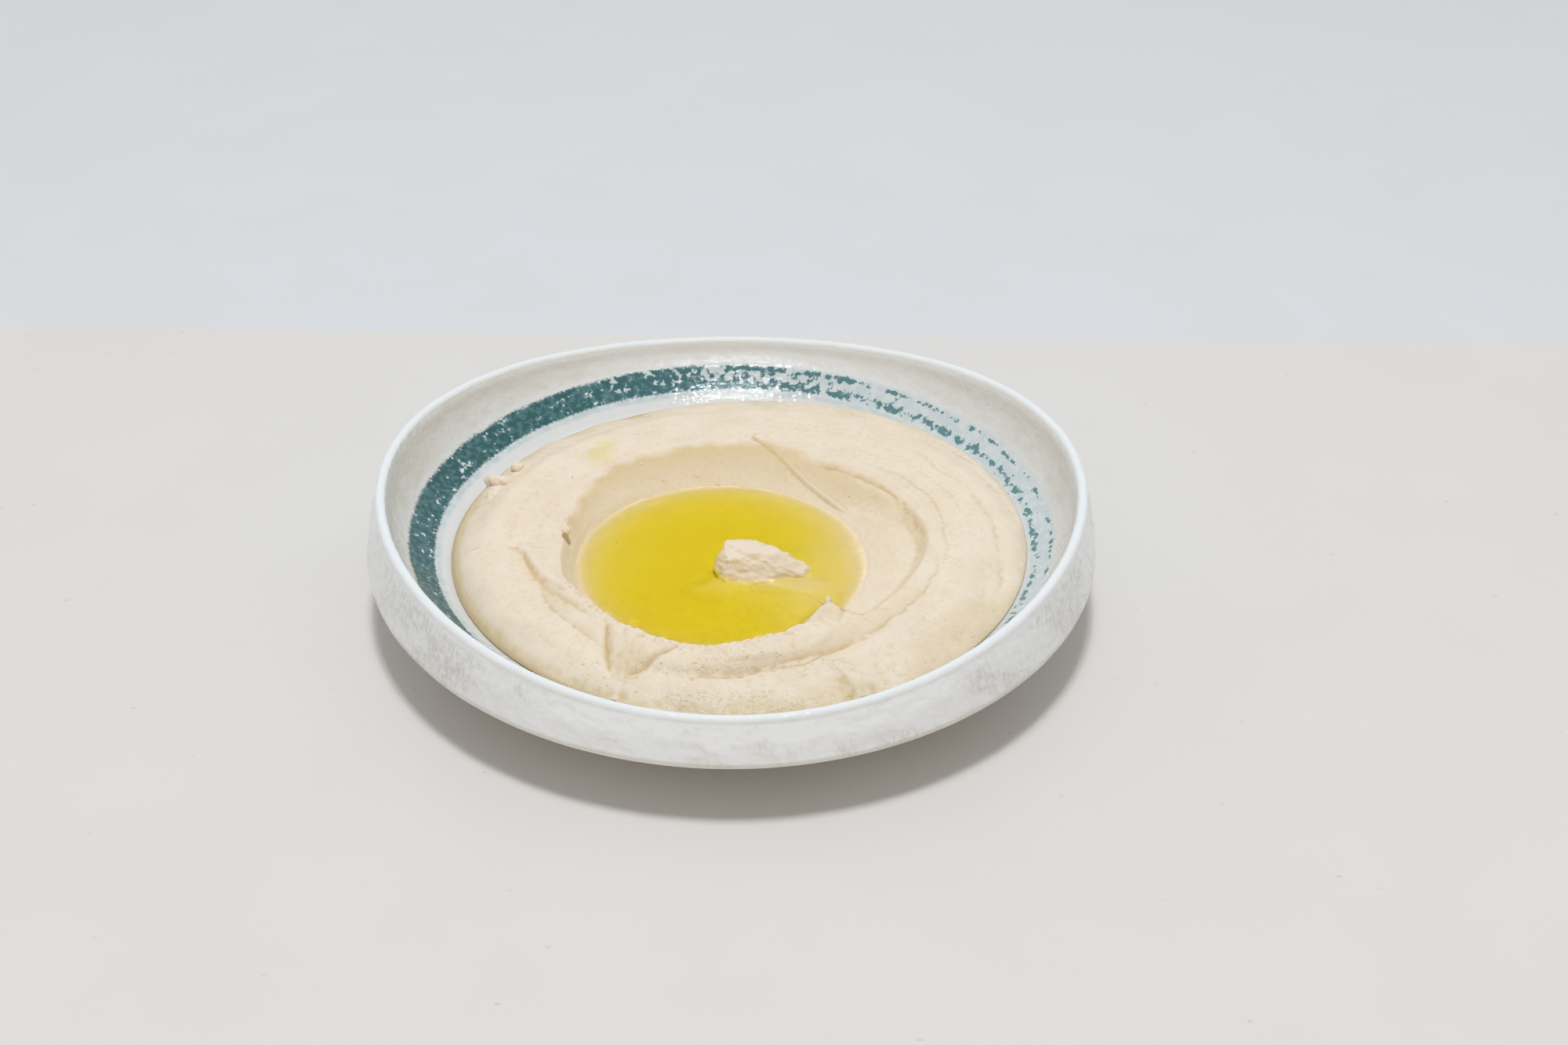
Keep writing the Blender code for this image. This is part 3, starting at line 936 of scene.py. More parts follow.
class Rule(Tree):
    """A Geometry Nodes tree that is made, run on a mesh and turned into a plain mesh."""

    def __init__(self, name: str, **inputs: float) -> None:
        """Makes an empty tree with named inputs.

        Args:
            name: The tree's name.
            inputs: Name and value of each input, whole numbers for counts.
        """
        super().__init__(bpy.data.node_groups.new(name, "GeometryNodeTree"))
        face = self.nodes.interface
        face.new_socket("Geometry", in_out="INPUT", socket_type="NodeSocketGeometry")
        face.new_socket("Geometry", in_out="OUTPUT", socket_type="NodeSocketGeometry")
        self.values = inputs
        self.identifiers: dict[str, str] = {}
        for label, value in inputs.items():
            kind = "NodeSocketInt" if isinstance(value, int) else "NodeSocketFloat"
            self.identifiers[label] = face.new_socket(label, in_out="INPUT", socket_type=kind).identifier
        self.source = self.node("NodeGroupInput", {}, {})
        self.result = self.node("NodeGroupOutput", {}, {})

    def given(self, name: str) -> Wire:
        """Gives one of the tree's inputs."""
        return Wire(self, self.source.outputs[name])

    def stored(self, name: str, kind: str = "FLOAT") -> Wire:
        """Gives a value that is stored on the tree's points."""
        return self.wire("GeometryNodeInputNamedAttribute", {"data_type": kind}, {"Name": name}, "Attribute")

    def finish(self, geometry: Wire, material: bpy.types.Material) -> None:
        """Ends the tree: realizes the instances and sets the material.

        Args:
            geometry: What the tree has made.
            material: The finish.
        """
        real = self.wire("GeometryNodeRealizeInstances", {}, {"Geometry": geometry})
        dressed = self.wire("GeometryNodeSetMaterial", {}, {"Geometry": real, "Material": material})
        self.nodes.links.new(dressed.socket, self.result.inputs["Geometry"])

    def run(self, name: str, mesh: bpy.types.Mesh) -> bpy.types.Object:
        """Runs the tree on a mesh.

        Args:
            name: The piece's name.
            mesh: The mesh that the tree starts from.

        Returns:
            The piece, with a plain mesh and no modifier.
        """
        carrier = bpy.data.objects.new(name, mesh)
        bpy.context.scene.collection.objects.link(carrier)
        modifier = carrier.modifiers.new("rule", "NODES")
        modifier.node_group = self.nodes
        for label, value in self.values.items():
            modifier[self.identifiers[label]] = value
        bpy.context.view_layer.update()
        seen = carrier.evaluated_get(bpy.context.evaluated_depsgraph_get())
        made = bpy.data.meshes.new_from_object(seen)
        bpy.data.objects.remove(carrier)
        piece = bpy.data.objects.new(name, made)
        bpy.context.scene.collection.objects.link(piece)
        return piece


# ---------------------------------------------------------------- the bowl


@dataclass
class Bowl:
    """The turned bowl: its section, and the sway of its rim."""

    sectors: int = 360
    edge_radius: float = 0.105
    edge_rounding: float = 0.0007
    lip_rounding: float = 0.0015
    wall_middle: Point = (0.1034, 0.0280)
    foot_neck: Point = (0.0560, 0.0045)
    lip_points: int = 13
    foot_outer: float = 0.0540
    foot_inner: float = 0.0490
    foot_depth: float = 0.0048
    foot_rounding: float = 0.0006
    inside: tuple[Point, ...] = (
        (0.0, 0.0105), (0.030, 0.0108), (0.060, 0.0116), (0.076, 0.0138),
        (0.086, 0.0188), (0.0928, 0.0240), (0.0968, 0.0292),
    )
    underside: tuple[Point, ...] = (
        (0.1040, 0.0189), (0.0980, 0.0160), (0.0860, 0.0120), (0.0720, 0.0083), (0.0600, 0.0060),
    )
    sway_start_inside: float = 0.0240
    underside_sway_start: float = 0.060
    unevenness: float = 0.00028
    slow_size: float = 0.022
    quick_size: float = 0.0055
    finish: StonewareGlaze = field(default_factory=StonewareGlaze)

    def section(self) -> list[tuple[float, float, float, float]]:
        """Works out the bowl's section.

        Returns:
            Radius, height, share of the sway and share of the unevenness of each point, from
            the middle of the inside over the lip to the middle of the foot.
        """
        rows: list[tuple[float, float, float, float]] = []
        rise = LIP_HEIGHT - self.sway_start_inside
        for radius, height in spline([*self.inside, (LIP_RADIUS - self.lip_rounding, LIP_HEIGHT)], 9):
            share = max(0.0, (height - self.sway_start_inside) / rise)
            rows.append((radius, height, share, 0.4 * share))
        for i in range(1, self.lip_points):
            turn = math.pi * i / (self.lip_points - 1)
            radius = LIP_RADIUS - self.lip_rounding * math.cos(turn)
            rows.append((radius, LIP_HEIGHT + self.lip_rounding * math.sin(turn), 1.0, 0.7))
        wall = [(LIP_RADIUS + self.lip_rounding, LIP_HEIGHT), self.wall_middle,
                (self.edge_radius, EDGE_HEIGHT + self.edge_rounding)]
        for radius, height in spline(wall, 12)[1:]:
            share = (height - EDGE_HEIGHT) / (LIP_HEIGHT - EDGE_HEIGHT)
            rows.append((radius, height, EDGE_SWAY_SHARE + (1.0 - EDGE_SWAY_SHARE) * share, 1.0))
        below = spline([(self.edge_radius - 0.0001, EDGE_HEIGHT - self.edge_rounding), *self.underside], 6)
        for radius, height in below:
            share = (radius - self.underside_sway_start) / (self.edge_radius - self.underside_sway_start)
            rows.append((radius, height, EDGE_SWAY_SHARE * max(0.0, share), max(0.0, share)))
        for radius, height in (
            self.foot_neck,
            (self.foot_outer, self.foot_rounding),
            (self.foot_outer - self.foot_rounding, 0.0),
            (self.foot_inner + self.foot_rounding, 0.0),
            (self.foot_inner, self.foot_rounding),
            (self.foot_inner - 0.0010, self.foot_depth),
            (0.0, self.foot_depth),
        ):
            rows.append((radius, height, 0.0, 0.0))
        return rows

    def rule(self, rows: int, material: bpy.types.Material) -> Rule:
        """Makes the tree that turns the section round the axis and sways the rim.

        Args:
            rows: Points of the section.
            material: The finish.

        Returns:
            The tree.
        """
        rule = Rule("turned_bowl", Sectors=self.sectors, Rows=rows, Sway=SWAY, Unevenness=self.unevenness)
        sectors, count = rule.given("Sectors"), rule.given("Rows")
        grid = rule.wire("GeometryNodeMeshGrid", {}, {"Vertices X": sectors + 1, "Vertices Y": count}, "Mesh")
        index = rule.wire("GeometryNodeInputIndex", {}, {})
        column = (index / count).through("FLOOR")
        row = index - column * count
        turn = column / sectors * math.tau
        section = rule.given("Geometry")

        def sampled(kind: str, value: Wire) -> Wire:
            """Reads a value of the section at the row."""
            sockets = {"Geometry": section, "Value": value, "Index": row}
            return rule.wire("GeometryNodeSampleIndex", {"data_type": kind, "domain": "POINT"}, sockets)

        place = sampled("FLOAT_VECTOR", rule.wire("GeometryNodeInputPosition", {}, {}))
        share = sampled("FLOAT", rule.stored("sway"))
        loose = sampled("FLOAT", rule.stored("uneven"))
        radius, height = place.part("X"), place.part("Z")
        cosine, sine = turn.through("COSINE"), turn.through("SINE")
        round_place = rule.combined(cosine * radius, sine * radius, height)
        slow = rule.noise(round_place, self.slow_size, 1.0) - 0.5
        quick = rule.noise(round_place, self.quick_size, 2.0) - 0.5
        swing = rule.given("Unevenness") * loose
        out = radius + swing * (slow * 1.6 + quick * 1.6)
        swayed = rule.given("Sway") * share * (turn * 2.0).through("COSINE")
        moved = rule.combined(cosine * out, sine * out, height + swayed + swing * (slow + quick * 1.4))
        turned = rule.wire("GeometryNodeSetPosition", {}, {"Geometry": grid, "Position": moved})
        closed = rule.wire("GeometryNodeMergeByDistance", {}, {"Geometry": turned, "Distance": AROUND_ZERO})
        soft = rule.wire("GeometryNodeSetShadeSmooth", {}, {0: closed})
        rule.finish(soft, material)
        return rule

    def build(self) -> None:
        """Builds and dresses the bowl."""
        rows = self.section()
        mesh = bpy.data.meshes.new("bowl_section")
        edges = [(i, i + 1) for i in range(len(rows) - 1)]
        mesh.from_pydata([(radius, 0.0, height) for radius, height, _, _ in rows], edges, [])
        store(mesh, "sway", np.array([row[2] for row in rows]))
        store(mesh, "uneven", np.array([row[3] for row in rows]))
        piece = self.rule(len(rows), self.finish.make()).run("stoneware_bowl", mesh)
        face_outwards(piece.data)
        settle(piece, Slot.GLAZE, "bowl")


# ---------------------------------------------------------------- the hummus


@dataclass
class SpoonedSurface:
    """The top of the hummus over the plan: a ring, the well in it, and the spoon's folds."""

    inside: Array
    oil_level: float
    outline: WavyCircle = WavyCircle(0.0834, ((1, 0.0027, -26.0), (2, 0.0004, 35.0), (3, 0.0005, 47.0)))
    gap: float = 0.0003
    ring_height: FourWay = FourWay(0.0247, 0.0244, 0.0242, 0.0228)
    swell: FourWay = FourWay(0.018, 0.034, 0.016, 0.014)
    swell_power: float = 0.85
    dip: FourWay = FourWay(0.0003, 0.0, 0.0016, 0.0012)
    dip_from: float = 0.013
    dip_width: float = 0.010
    well_centre: Point = (0.001, -0.012)
    crest: WavyCircle = WavyCircle(
        0.0518,
        ((1, 0.0033, 90.0), (2, 0.0005, -40.0), (3, 0.0020, -2.0), (4, 0.0006, 2.0), (5, 0.0006, 5.0),
         (6, 0.0009, 14.0)),
        ((-104.0, 29.0, 0.0019), (-68.0, 11.0, -0.0026)),
    )
    crest_height: FourWay = FourWay(0.0252, 0.0252, 0.0254, 0.0256)
    wall_width: FourWay = FourWay(0.0036, 0.0140, 0.0040, 0.0080)
    wall_power: float = 1.8
    basin_centre: Point = (-0.0037, -0.0130)
    basin_reach: FourWay = FourWay(0.0422, 0.0418, 0.0410, 0.0408)
    basin_floor: float = 0.0133
    basin_rim: float = 0.0180
    basin_power: FourWay = FourWay(1.45, 5.0, 3.0, 7.0)
    basin_slope: FourWay = FourWay(0.20, 0.42, 0.45, 0.35)
    bead_width: float = 0.0105
    bead_drop: float = 0.0045
    bead_sides: Point = (185.0, 340.0)
    bead_fades: Point = (30.0, 45.0)
    bead_sink: float = 0.004
    blend: float = 0.0004
    unevenness: float = 0.00022
    uneven_waves: tuple[Point, ...] = ((0.021, 20.0), (0.016, 75.0), (0.024, 140.0))
    edge_band: float = 0.004
    folds: tuple[Ridge, ...] = (
        Ridge((0.0068, 0.0462), (0.0134, 0.0379), (0.0255, 0.0243), 1.90, 0.16, 0.0002),
        Ridge((0.0134, 0.0379), (0.0230, 0.0256), (0.0243, 0.0207), 1.90, 0.16, 0.0002),
        Ridge((0.0230, 0.0256), (0.0330, 0.0130), (0.0207, 0.0191), 1.90, 0.16, 0.0002),
    )
    spurs: tuple[Ridge, ...] = (
        Ridge((0.0272, -0.0350), (0.0190, -0.0500), (0.0205, 0.0235), 1.3, 0.55),
        Ridge((0.0272, -0.0350), (0.0130, -0.0195), (0.0172, 0.0164), 0.40, 0.30, 0.0003),
    )
    ring_folds: tuple[Ridge, ...] = (
        Ridge((-0.0360, -0.0475), (-0.0470, -0.0352), (0.0256, 0.0252), 0.20, 1.10, 0.0005),
        Ridge((-0.0470, -0.0352), (-0.0518, -0.0275), (0.0252, 0.0235), 0.22, 1.10, 0.0005),
        Ridge((-0.0518, -0.0275), (-0.0614, -0.0120), (0.0235, 0.0232), 0.22, 1.10, 0.0005),
        Ridge((-0.0265, -0.0570), (-0.0290, -0.0685), (0.0266, 0.0236), 0.50, 0.50, 0.0006),
        Ridge((0.0270, -0.0690), (0.0320, -0.0760), (0.0238, 0.0228), 0.70, 0.25),
    )
    warps: tuple[Point, ...] = ((0.0007, 0.0060), (0.00035, 0.0022))
    strokes: tuple[Stroke, ...] = (
        Stroke(((-0.0480, 0.0080), (-0.0482, 0.0000), (-0.0490, -0.0090)), 0.0006, 0.0010, 0.0016),
        Stroke(((-0.0470, -0.0020), (-0.0478, -0.0090)), -0.0010, 0.0008, 0.0012, 0.003),
        Stroke(((-0.0620, -0.0125), (-0.0597, -0.0165), (-0.0548, -0.0263), (-0.0475, -0.0385),
                (-0.0399, -0.0475), (-0.0350, -0.0515)), -0.0007, 0.0008, 0.0026, 0.008),
        Stroke(((-0.0350, -0.0490), (-0.0345, -0.0580), (-0.0335, -0.0660), (-0.0318, -0.0715)),
               -0.0014, 0.0010, 0.0014, 0.005),
        Stroke(((-0.0130, -0.0625), (-0.0183, -0.0645), (-0.0247, -0.0685), (-0.0300, -0.0720)),
               -0.0013, 0.0011, 0.0009, 0.006),
        Stroke(((-0.0215, -0.0700), (-0.0154, -0.0722), (-0.0077, -0.0726), (0.0000, -0.0720),
                (0.0077, -0.0705), (0.0190, -0.0660), (0.0289, -0.0598), (0.0399, -0.0510),
                (0.0500, -0.0397), (0.0560, -0.0270), (0.0585, -0.0150)), -0.0009, 0.0014, 0.0014, 0.014),
        Stroke(((-0.0140, -0.0665), (0.0010, -0.0675), (0.0170, -0.0620), (0.0300, -0.0535)),
               0.0005, 0.0014, 0.0010, 0.010),
        Stroke(((0.0239, 0.0338), (0.0297, 0.0295), (0.0355, 0.0253), (0.0411, 0.0197), (0.0466, 0.0151),
                (0.0506, 0.0089), (0.0530, 0.0030)), -0.0012, 0.0011, 0.0024, 0.008),
        Stroke(((0.0466, 0.0151), (0.0506, 0.0089), (0.0536, 0.0009), (0.0555, -0.0069), (0.0558, -0.0132)),
               -0.0006, 0.0010, 0.0020, 0.008),
        Stroke(((0.0270, 0.0345), (0.0375, 0.0280), (0.0440, 0.0225), (0.0520, 0.0140), (0.0570, 0.0020)),
               0.0006, 0.0018, 0.0010),
        Stroke(((0.0386, 0.0295), (0.0501, 0.0238), (0.0581, 0.0129), (0.0612, -0.0030), (0.0608, -0.0157),
                (0.0570, -0.0280)), -0.00040, 0.0018, 0.0012, 0.010),
        Stroke(((0.0540, 0.0300), (0.0615, 0.0183), (0.0676, 0.0048), (0.0683, -0.0107), (0.0662, -0.0257)),
               -0.00030, 0.0024, 0.0016, 0.012),
        Stroke(((0.0620, 0.0300), (0.0676, 0.0210), (0.0736, 0.0074), (0.0763, -0.0082), (0.0761, -0.0233),
                (0.0726, -0.0377)), -0.00055, 0.0022, 0.0020, 0.012),
        Stroke(((0.0500, 0.0430), (0.0600, 0.0330), (0.0680, 0.0180)), -0.00035, 0.0020, 0.0020, 0.012),
        Stroke(((0.0275, -0.0705), (0.0305, -0.0755), (0.0315, -0.0810)), -0.0005, 0.0008, 0.0014, 0.004),
        Stroke(((0.0350, -0.0700), (0.0335, -0.0750), (0.0325, -0.0800)), 0.0004, 0.0012, 0.0012, 0.004),
        Stroke(((-0.0730, 0.0290), (-0.0715, 0.0215), (-0.0735, 0.0140)), 0.0008, 0.0014, 0.0028, 0.003),
        Stroke(((-0.0690, 0.0340), (-0.0650, 0.0360)), 0.0004, 0.0015, 0.0015, 0.003),
    )
    shoals: tuple[tuple[Patch, float], ...] = (
        (Patch((0.0330, -0.0120), (0.0090, 0.0130), 10.0, 0.8, 0.9), 0.0012),
        (Patch((0.0200, -0.0360), (0.0090, 0.0100), -35.0, 0.8, 0.8), 0.0019),
        (Patch((0.0100, -0.0280), (0.0120, 0.0060), -10.0, 0.8, 0.8), 0.0021),
        (Patch((-0.0020, -0.0215), (0.0080, 0.0042), 0.0, 0.8, 0.7), 0.0017),
        (Patch((0.0240, -0.0260), (0.0085, 0.0070), -30.0, 0.9, 0.8), 0.0012),
        (Patch((0.0150, -0.0215), (0.0140, 0.0040), -10.0, 0.95, 0.5), 0.0007),
    )
    streak_spiral: float = 0.0035
    streaks: tuple[tuple[float, float, float], ...] = (
        (0.00003, 0.0010, 0.0020), (0.00007, 0.0021, 0.0024), (0.00042, 0.0048, 0.0034),
    )
    grain_depth: float = 0.00007
    lumpy: tuple[Point, ...] = ((0.00016, 0.0036), (0.00014, 0.0020))
    smooth_side: float = 0.3
    ragged_depth: float = 0.00036
    ragged_width: float = 0.0026
    ragged_size: float = 0.0010
    ragged_swing: float = 0.0043
    grain_size: float = 0.0010
    crest_fade: float = 0.004
    edge_fade: float = 0.006
    outline_fade: float = 0.0012
    search_steps: int = 500
    halvings: int = 40
    noise: LatticeNoise = field(default_factory=lambda: LatticeNoise(11))

    def inside_height(self, radius: Array) -> Array:
        """Gives the height of the bowl's inside at a distance from its axis."""
        return np.interp(radius, self.inside[:, 0], self.inside[:, 1])

    def from_well(self, x: Array, y: Array) -> tuple[Array, Array]:
        """Gives distance from and direction round the well's centre, in radians."""
        to_x, to_y = x - self.well_centre[0], y - self.well_centre[1]
        return np.hypot(to_x, to_y), np.arctan2(to_y, to_x)

    def along_rays(self, reach: Array, angles: Array) -> tuple[Array, Array]:
        """Gives plan places at a reach from the well's centre along each ray."""
        return self.well_centre[0] + reach * np.cos(angles), self.well_centre[1] + reach * np.sin(angles)

    def ring(self, x: Array, y: Array) -> Array:
        """Gives the height of the ring between the outline and the well.

        Args:
            x: Plan places.
            y: Plan places.

        Returns:
            Heights.
        """
        bearing = np.arctan2(y, x)
        outline = self.outline.at(bearing)
        foot = self.inside_height(outline) + self.gap
        inward = outline - np.hypot(x, y)
        rise = np.clip(inward / self.swell.at(bearing), 0.0, 1.0)
        ring = foot + (self.ring_height.at(bearing) - foot) * (1.0 - (1.0 - rise) ** 2) ** self.swell_power
        return ring - self.dip.at(bearing) * smooth((inward - self.dip_from) / self.dip_width)

    def beaded(self, angle: Array) -> Array:
        """Gives how full the rolled bead is in a direction from the well's centre.

        Args:
            angle: Direction in radians.

        Returns:
            From 0, where there is no bead, to 1.
        """
        turn = np.degrees(angle) % 360.0
        opening = smooth((turn - self.bead_sides[0]) / self.bead_fades[0])
        return opening * smooth((self.bead_sides[1] - turn) / self.bead_fades[1])

    def basin(self, x: Array, y: Array) -> Array:
        """Gives the height of the floor of the well.

        Args:
            x: Plan places.
            y: Plan places.

        Returns:
            Heights.
        """
        to_x, to_y = x - self.basin_centre[0], y - self.basin_centre[1]
        reach, angle = np.hypot(to_x, to_y), np.arctan2(to_y, to_x)
        depth = self.basin_rim - self.basin_floor
        shore = self.basin_reach.at(angle)
        bowl = self.basin_floor + depth * (reach / shore) ** self.basin_power.at(angle)
        apron = self.basin_rim + self.basin_slope.at(angle) * (reach - shore)
        return np.where(reach < shore, bowl, apron)

    def warped(self, x: Array, y: Array) -> tuple[Array, Array]:
        """Shifts places a little one way and the other, so that no edge runs quite true.

        Args:
            x: Plan places.
            y: Plan places.

        Returns:
            The shifted places.
        """
        shift_x, shift_y = x, y
        for depth, length in self.warps:
            shift_x = shift_x + depth * self.noise.at(x + 0.4, y, length)
            shift_y = shift_y + depth * self.noise.at(x, y + 0.4, length)
        return shift_x, shift_y

    def height(self, x: Array, y: Array) -> Array:
        """Gives the height of the surface without its fine relief.

        Args:
            x: Plan places.
            y: Plan places.

        Returns:
            Heights.
        """
        reach, angle = self.from_well(x, y)
        past = reach - self.crest.at(angle)
        warped = self.warped(x, y)
        beaded = self.beaded(angle)
        bead = self.crest_height.at(angle) - self.bead_drop * (np.maximum(past, 0.0) / self.bead_width) ** 3
        bead = np.where(beaded > 0.0, bead - self.bead_sink * (1.0 - beaded), -1.0)
        top = merge(self.ring(x, y), bead, self.blend)
        for fold in self.ring_folds:
            top = fold.over(top, *warped)
        inward = self.outline.at(np.arctan2(y, x)) - np.hypot(x, y)
        for length, direction in self.uneven_waves:
            turn = math.radians(direction)
            wave = np.sin((x * math.cos(turn) + y * math.sin(turn)) / length * math.tau)
            top = top + self.unevenness * wave * smooth(inward / self.edge_band)
        basin = self.basin(x, y)
        for shoal, depth in self.shoals:
            basin = basin + np.maximum(self.oil_level - depth - basin, 0.0) * shoal.share(x, y)
        wall = np.clip(1.0 + past / self.wall_width.at(angle), 0.0, 1.0) ** self.wall_power
        surface = basin + (top - basin) * wall
        for fold in self.folds:
            surface = fold.over(surface, x, y)
        for spur in self.spurs:
            surface = spur.over(surface, *warped)
        return surface

    def relief(self, x: Array, y: Array) -> Array:
        """Gives the fine relief: the spoon's strokes and streaks, the grain and the ragged crest.

        Args:
            x: Plan places.
            y: Plan places.

        Returns:
            Heights to add.
        """
        reach, angle = self.from_well(x, y)
        past = reach - self.crest.at(angle)
        inward = self.outline.at(np.arctan2(y, x)) - np.hypot(x, y)
        total = np.zeros_like(x)
        warped = self.warped(x, y)
        for stroke in self.strokes:
            total = total + stroke.relief(*warped)
        drift = reach + self.streak_spiral * angle
        on_ring = smooth(past / self.crest_fade) * smooth(inward / self.edge_fade)
        for depth, width, length in self.streaks:
            streak = self.noise.at(drift, (angle + math.pi) * length, width)
            total = total + depth * streak * (0.2 + 0.8 * on_ring)
        total = total + self.grain_depth * self.noise.at(x, y, self.grain_size)
        rough = self.smooth_side + (1.0 - self.smooth_side) * self.beaded(angle)
        for depth, length in self.lumpy:
            total = total + depth * rough * self.noise.at(y + 0.1, x, length)
        edge = np.exp(-((past / self.ragged_width) ** 2)) * (0.2 + 0.8 * self.beaded(angle))
        ragged = self.noise.at(x + 0.2, y, self.ragged_size)
        ragged = ragged + 0.9 * self.noise.at(x, y + 0.3, self.ragged_swing)
        total = total + self.ragged_depth * ragged * edge
        return total * smooth(inward / self.outline_fade)

    def reach_where(self, angles: Array, level: float) -> Array:
        """Finds how far each ray goes from the well's centre before the surface is at a level.

        Args:
            angles: The rays' directions in radians.
            level: The height that is looked for.

        Returns:
            The reach along each ray.
        """
        shares = np.linspace(0.0, 1.0, self.search_steps)
        grid = shares[:, None] * self.crest.at(angles)[None, :]
        x, y = self.along_rays(grid, angles[None, :])
        heights = self.height(x, y)
        after = np.argmax(heights > level, axis=0)
        columns = np.arange(len(angles))
        low, high = heights[after - 1, columns], heights[after, columns]
        share = np.clip((level - low) / np.maximum(high - low, 1e-9), 0.0, 1.0)
        return grid[after - 1, columns] + share * (grid[after, columns] - grid[after - 1, columns])

    def outline_reach(self, angles: Array) -> Array:
        """Finds the distance from the well's centre to the outline along each ray.

        Args:
            angles: The rays' directions in radians.

        Returns:
            The reach along each ray.
        """
        low, high = np.zeros_like(angles), np.full_like(angles, 2.0 * self.outline.radius)
        for _ in range(self.halvings):
            middle = (low + high) / 2.0
            x, y = self.along_rays(middle, angles)
            outside = np.hypot(x, y) > self.outline.at(np.arctan2(y, x))
            low, high = np.where(outside, low, middle), np.where(outside, middle, high)
        return low


@dataclass
class Hummus:
    """The hummus: its folded surface on top, and the bowl's inside underneath."""

    surface: SpoonedSurface
    sectors: int = 620
    pool_rings: int = 34
    wall_rings: int = 34
    ring_rings: int = 56
    edge_rings: int = 8
    under_shares: tuple[float, ...] = (0.96, 0.90, 0.80, 0.60, 0.30)
    edge_width: float = 0.0040
    sink: float = 0.0003
    damp_height: float = 0.0022
    sunk_from: float = 0.0003
    sunk_width: float = 0.0008
    stray: float = 0.0016
    stray_size: float = 0.006
    stray_fine: float = 0.002
    stain_size: float = 0.0035
    hollow_scale: float = 0.00022
    hollow_rounds: int = 5
    stains: tuple[Patch, ...] = (
        Patch((0.008, -0.0885), (0.046, 0.0080), 0.0, 0.42, 0.4),
        Patch((0.029, -0.0800), (0.012, 0.0060), 20.0, 0.40, 0.4),
        Patch((0.0665, -0.0560), (0.0300, 0.0130), 50.0, 0.36, 0.15),
        Patch((-0.0275, -0.0665), (0.0045, 0.0060), 0.0, 0.40),
    )
    # Lines drawn darker along the front groove, the second edge on the right, the left fold and the lick's
    # creases: oil stain, and painted shade in those grooves and creases.
    stain_and_shade_lines: tuple[Stroke, ...] = (
        Stroke(((-0.0200, -0.0690), (-0.0077, -0.0702), (0.0020, -0.0695), (0.0110, -0.0670),
                (0.0190, -0.0635), (0.0280, -0.0578), (0.0390, -0.0492), (0.0490, -0.0380),
                (0.0550, -0.0260)),
               0.25, 0.0026, 0.0022, 0.014, 2.4),
        Stroke(((0.0230, 0.0345), (0.0355, 0.0250), (0.0466, 0.0147), (0.0530, 0.0009), (0.0550, -0.0132),
                (0.0540, -0.0215)), 0.50, 0.0012, 0.0024, 0.016, 2.2),
        Stroke(((-0.0597, -0.0165), (-0.0548, -0.0263), (-0.0475, -0.0385), (-0.0399, -0.0475)),
               0.35, 0.0009, 0.0020, 0.006, 2.0),
        Stroke(((-0.0338, -0.0510), (-0.0330, -0.0600), (-0.0325, -0.0645), (-0.0303, -0.0708)),
               0.55, 0.0010, 0.0014, 0.004, 2.0),
        Stroke(((-0.0183, -0.0640), (-0.0247, -0.0670), (-0.0303, -0.0708)),
               0.55, 0.0012, 0.0010, 0.004, 2.0),
    )
    well_stain: FourWay = FourWay(0.38, 0.95, 0.85, 0.10)
    well_stain_edge: float = 0.0044
    # How much lighter the wall of the well is drawn towards the oil than just under the crest, where painted
    # shade darkens it.
    crest_shade_fade: float = 0.65
    damp: FourWay = FourWay(0.10, 0.25, 0.70, 0.10)
    shines: tuple[Patch, ...] = (
        Patch((0.000, -0.0840), (0.034, 0.0080), 0.0, 1.0, 0.5),
        Patch((0.002, -0.0690), (0.040, 0.0070), 0.0, 0.7, 0.5),
        Patch((0.048, -0.0620), (0.026, 0.0100), 42.0, 0.7, 0.5),
        Patch((-0.036, -0.0740), (0.016, 0.0080), -28.0, 0.6, 0.5),
        Patch((0.004, -0.0700), (0.030, 0.0060), 8.0, 1.0, 0.5),
        Patch((0.000, -0.0800), (0.034, 0.0070), 0.0, 1.0, 0.4),
        Patch((0.048, -0.0550), (0.016, 0.0090), 45.0, 0.7, 0.5),
        Patch((-0.020, 0.0330), (0.014, 0.0070), 0.0, 0.3, 0.5),
    )
    films: tuple[Patch, ...] = (Patch((-0.0400, 0.0395), (0.0040, 0.0064), 0.0, 0.62, 0.5),)

    def grid(self) -> tuple[Array, Array, Array]:
        """Lays out the points over the plan, close together where the surface bends most.

        Returns:
            The plan places by ring and sector, and the rays' directions.
        """
        surface = self.surface
        angles = np.linspace(0.0, math.tau, self.sectors, endpoint=False)
        shore = surface.reach_where(angles, surface.oil_level)
        crest = surface.crest.at(angles)
        outline = surface.outline_reach(angles)
        band = outline - self.edge_width
        spans = [
            (np.zeros_like(shore), shore, shares_to_one(self.pool_rings)),
            (shore, crest, shares_to_one(self.wall_rings)),
            (crest, band, shares_to_one(self.ring_rings) ** 1.25),
            (band, outline, 1.0 - (1.0 - shares_to_one(self.edge_rings)) ** 1.6),
        ]
        reaches = [start + (end - start) * share for start, end, shares in spans for share in shares]
        x, y = surface.along_rays(np.array(reaches), angles[None, :])
        return x, y, angles

